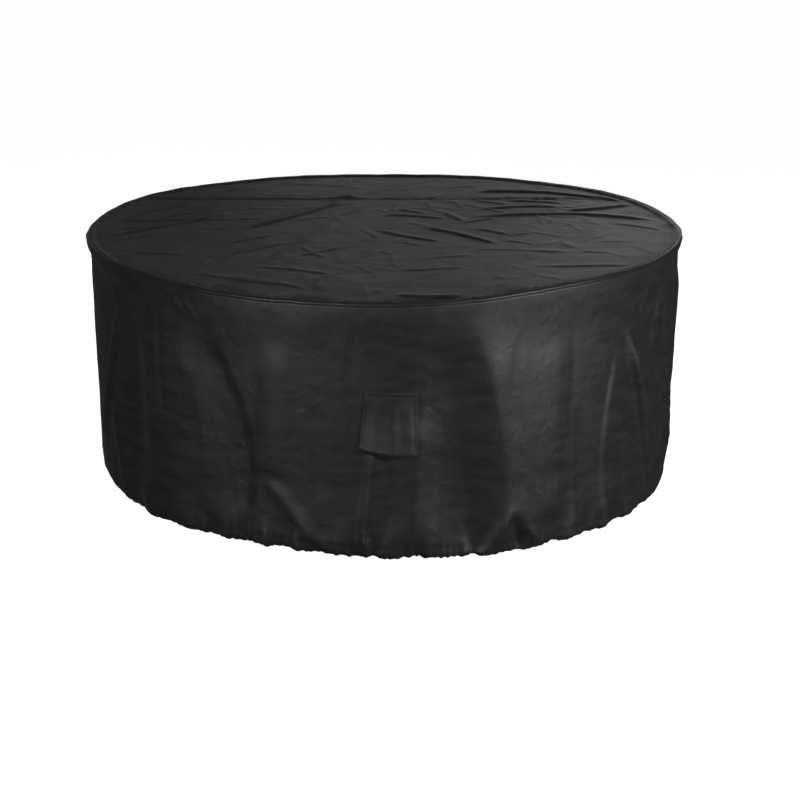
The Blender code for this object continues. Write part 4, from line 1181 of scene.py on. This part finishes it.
def soft_light(name, place, target, size, power):
    lamp = bpy.data.lights.new(name, "AREA")
    lamp.shape = "RECTANGLE"
    lamp.size, lamp.size_y = size
    lamp.energy = power
    holder = bpy.data.objects.new(name, lamp)
    holder.location = place
    holder.rotation_euler = (Vector(target) - Vector(place)).to_track_quat("-Z", "Y").to_euler()
    bpy.context.scene.collection.objects.link(holder)


def studio_world():
    """White for the camera, and a dim even fill for everything else."""
    world = bpy.data.worlds.new("studio")
    world.use_nodes = True
    tree = world.node_tree
    tree.nodes.clear()
    out = add_node(tree, "ShaderNodeOutputWorld", (600, 0))
    seen = add_node(tree, "ShaderNodeBackground", (200, 100))
    set_inputs(seen, Color=(1.0, 1.0, 1.0, 1.0), Strength=1.0)
    fill = add_node(tree, "ShaderNodeBackground", (200, -100))
    set_inputs(fill, Color=(1.0, 1.0, 1.0, 1.0), Strength=WORLD_FILL)
    path = add_node(tree, "ShaderNodeLightPath", (0, 300))
    pick = add_node(tree, "ShaderNodeMixShader", (400, 0))
    tree.links.new(path.outputs["Is Camera Ray"], pick.inputs["Fac"])
    tree.links.new(fill.outputs[0], pick.inputs[1])
    tree.links.new(seen.outputs[0], pick.inputs[2])
    tree.links.new(pick.outputs[0], out.inputs["Surface"])
    bpy.context.scene.world = world


def photo_camera():
    lens = bpy.data.cameras.new("camera")
    lens.sensor_width = CAMERA_SENSOR
    lens.lens = CAMERA_LENS
    holder = bpy.data.objects.new("camera", lens)
    bpy.context.scene.collection.objects.link(holder)
    right = Vector((math.cos(CAMERA_YAW), -math.sin(CAMERA_YAW), 0.0))
    ahead = Vector((
        math.sin(CAMERA_YAW) * math.cos(CAMERA_PITCH), math.cos(CAMERA_YAW) * math.cos(CAMERA_PITCH),
        -math.sin(CAMERA_PITCH),
    ))
    turn = Matrix((right, right.cross(ahead), -ahead)).transposed()
    holder.matrix_world = Matrix.Translation(CAMERA_PLACE) @ turn.to_4x4()
    bpy.context.scene.camera = holder


# --- putting it together ------------------------------------------------------------------
weave_group = coated_weave_group()
cloth_material = cloth_finish("black coated polyester", weave_group, 0.08, Crumple_Depth=1.0)
skirt_material = cloth_finish("black coated polyester, rumpled", weave_group, 0.08, Crumple_Depth=2.4)
welt_material = cloth_finish(
    "black piping", weave_group, 0.08, Dark=0.012, Light=0.020, Smooth=0.34, Rough=0.46,
)
thread_material = thread_finish()

photo_camera()
top_folds = list(TOP_FOLDS) + scattered_top_folds()
skirt_folds = list(SKIRT_FOLDS) + scattered_skirt_folds()

top_front = top_panel("top_front_cloth", True, top_folds)
top_back = top_panel("top_back_cloth", False, top_folds)
welt = rim_welt("rim_piping")
skirt_cloth = skirt("skirt_cloth", skirt_folds)
skirt_surface = surface_of(skirt_cloth)
flap = vent_flap("vent_flap_cloth", skirt_surface)

finish_sheet(top_front, cloth_material, "cover_cloth", "top_front")
finish_sheet(top_back, cloth_material, "cover_cloth", "top_back")
finish_sheet(welt, welt_material, "welt_cloth", "rim_welt")
finish_sheet(skirt_cloth, skirt_material, "cover_cloth", "skirt")
finish_sheet(flap, skirt_material, "cover_cloth", "vent_flap")

top_surface = surface_of(top_front)
seam_stitches = stitch_rows("seam_stitches", seam_lines(top_folds), top_surface)
hem_stitches = stitch_rows("hem_stitches", [casing_line(skirt_folds)], skirt_surface)
flap_stitches = stitch_rows("flap_stitches", flap_lines(), surface_of(flap))
for stitches in (seam_stitches, hem_stitches, flap_stitches):
    finish_sheet(stitches, thread_material, "cover_cloth")

studio_floor()
studio_world()
for light in SOFT_LIGHTS:
    soft_light(*light)
bpy.context.scene.view_settings.view_transform = "Standard"
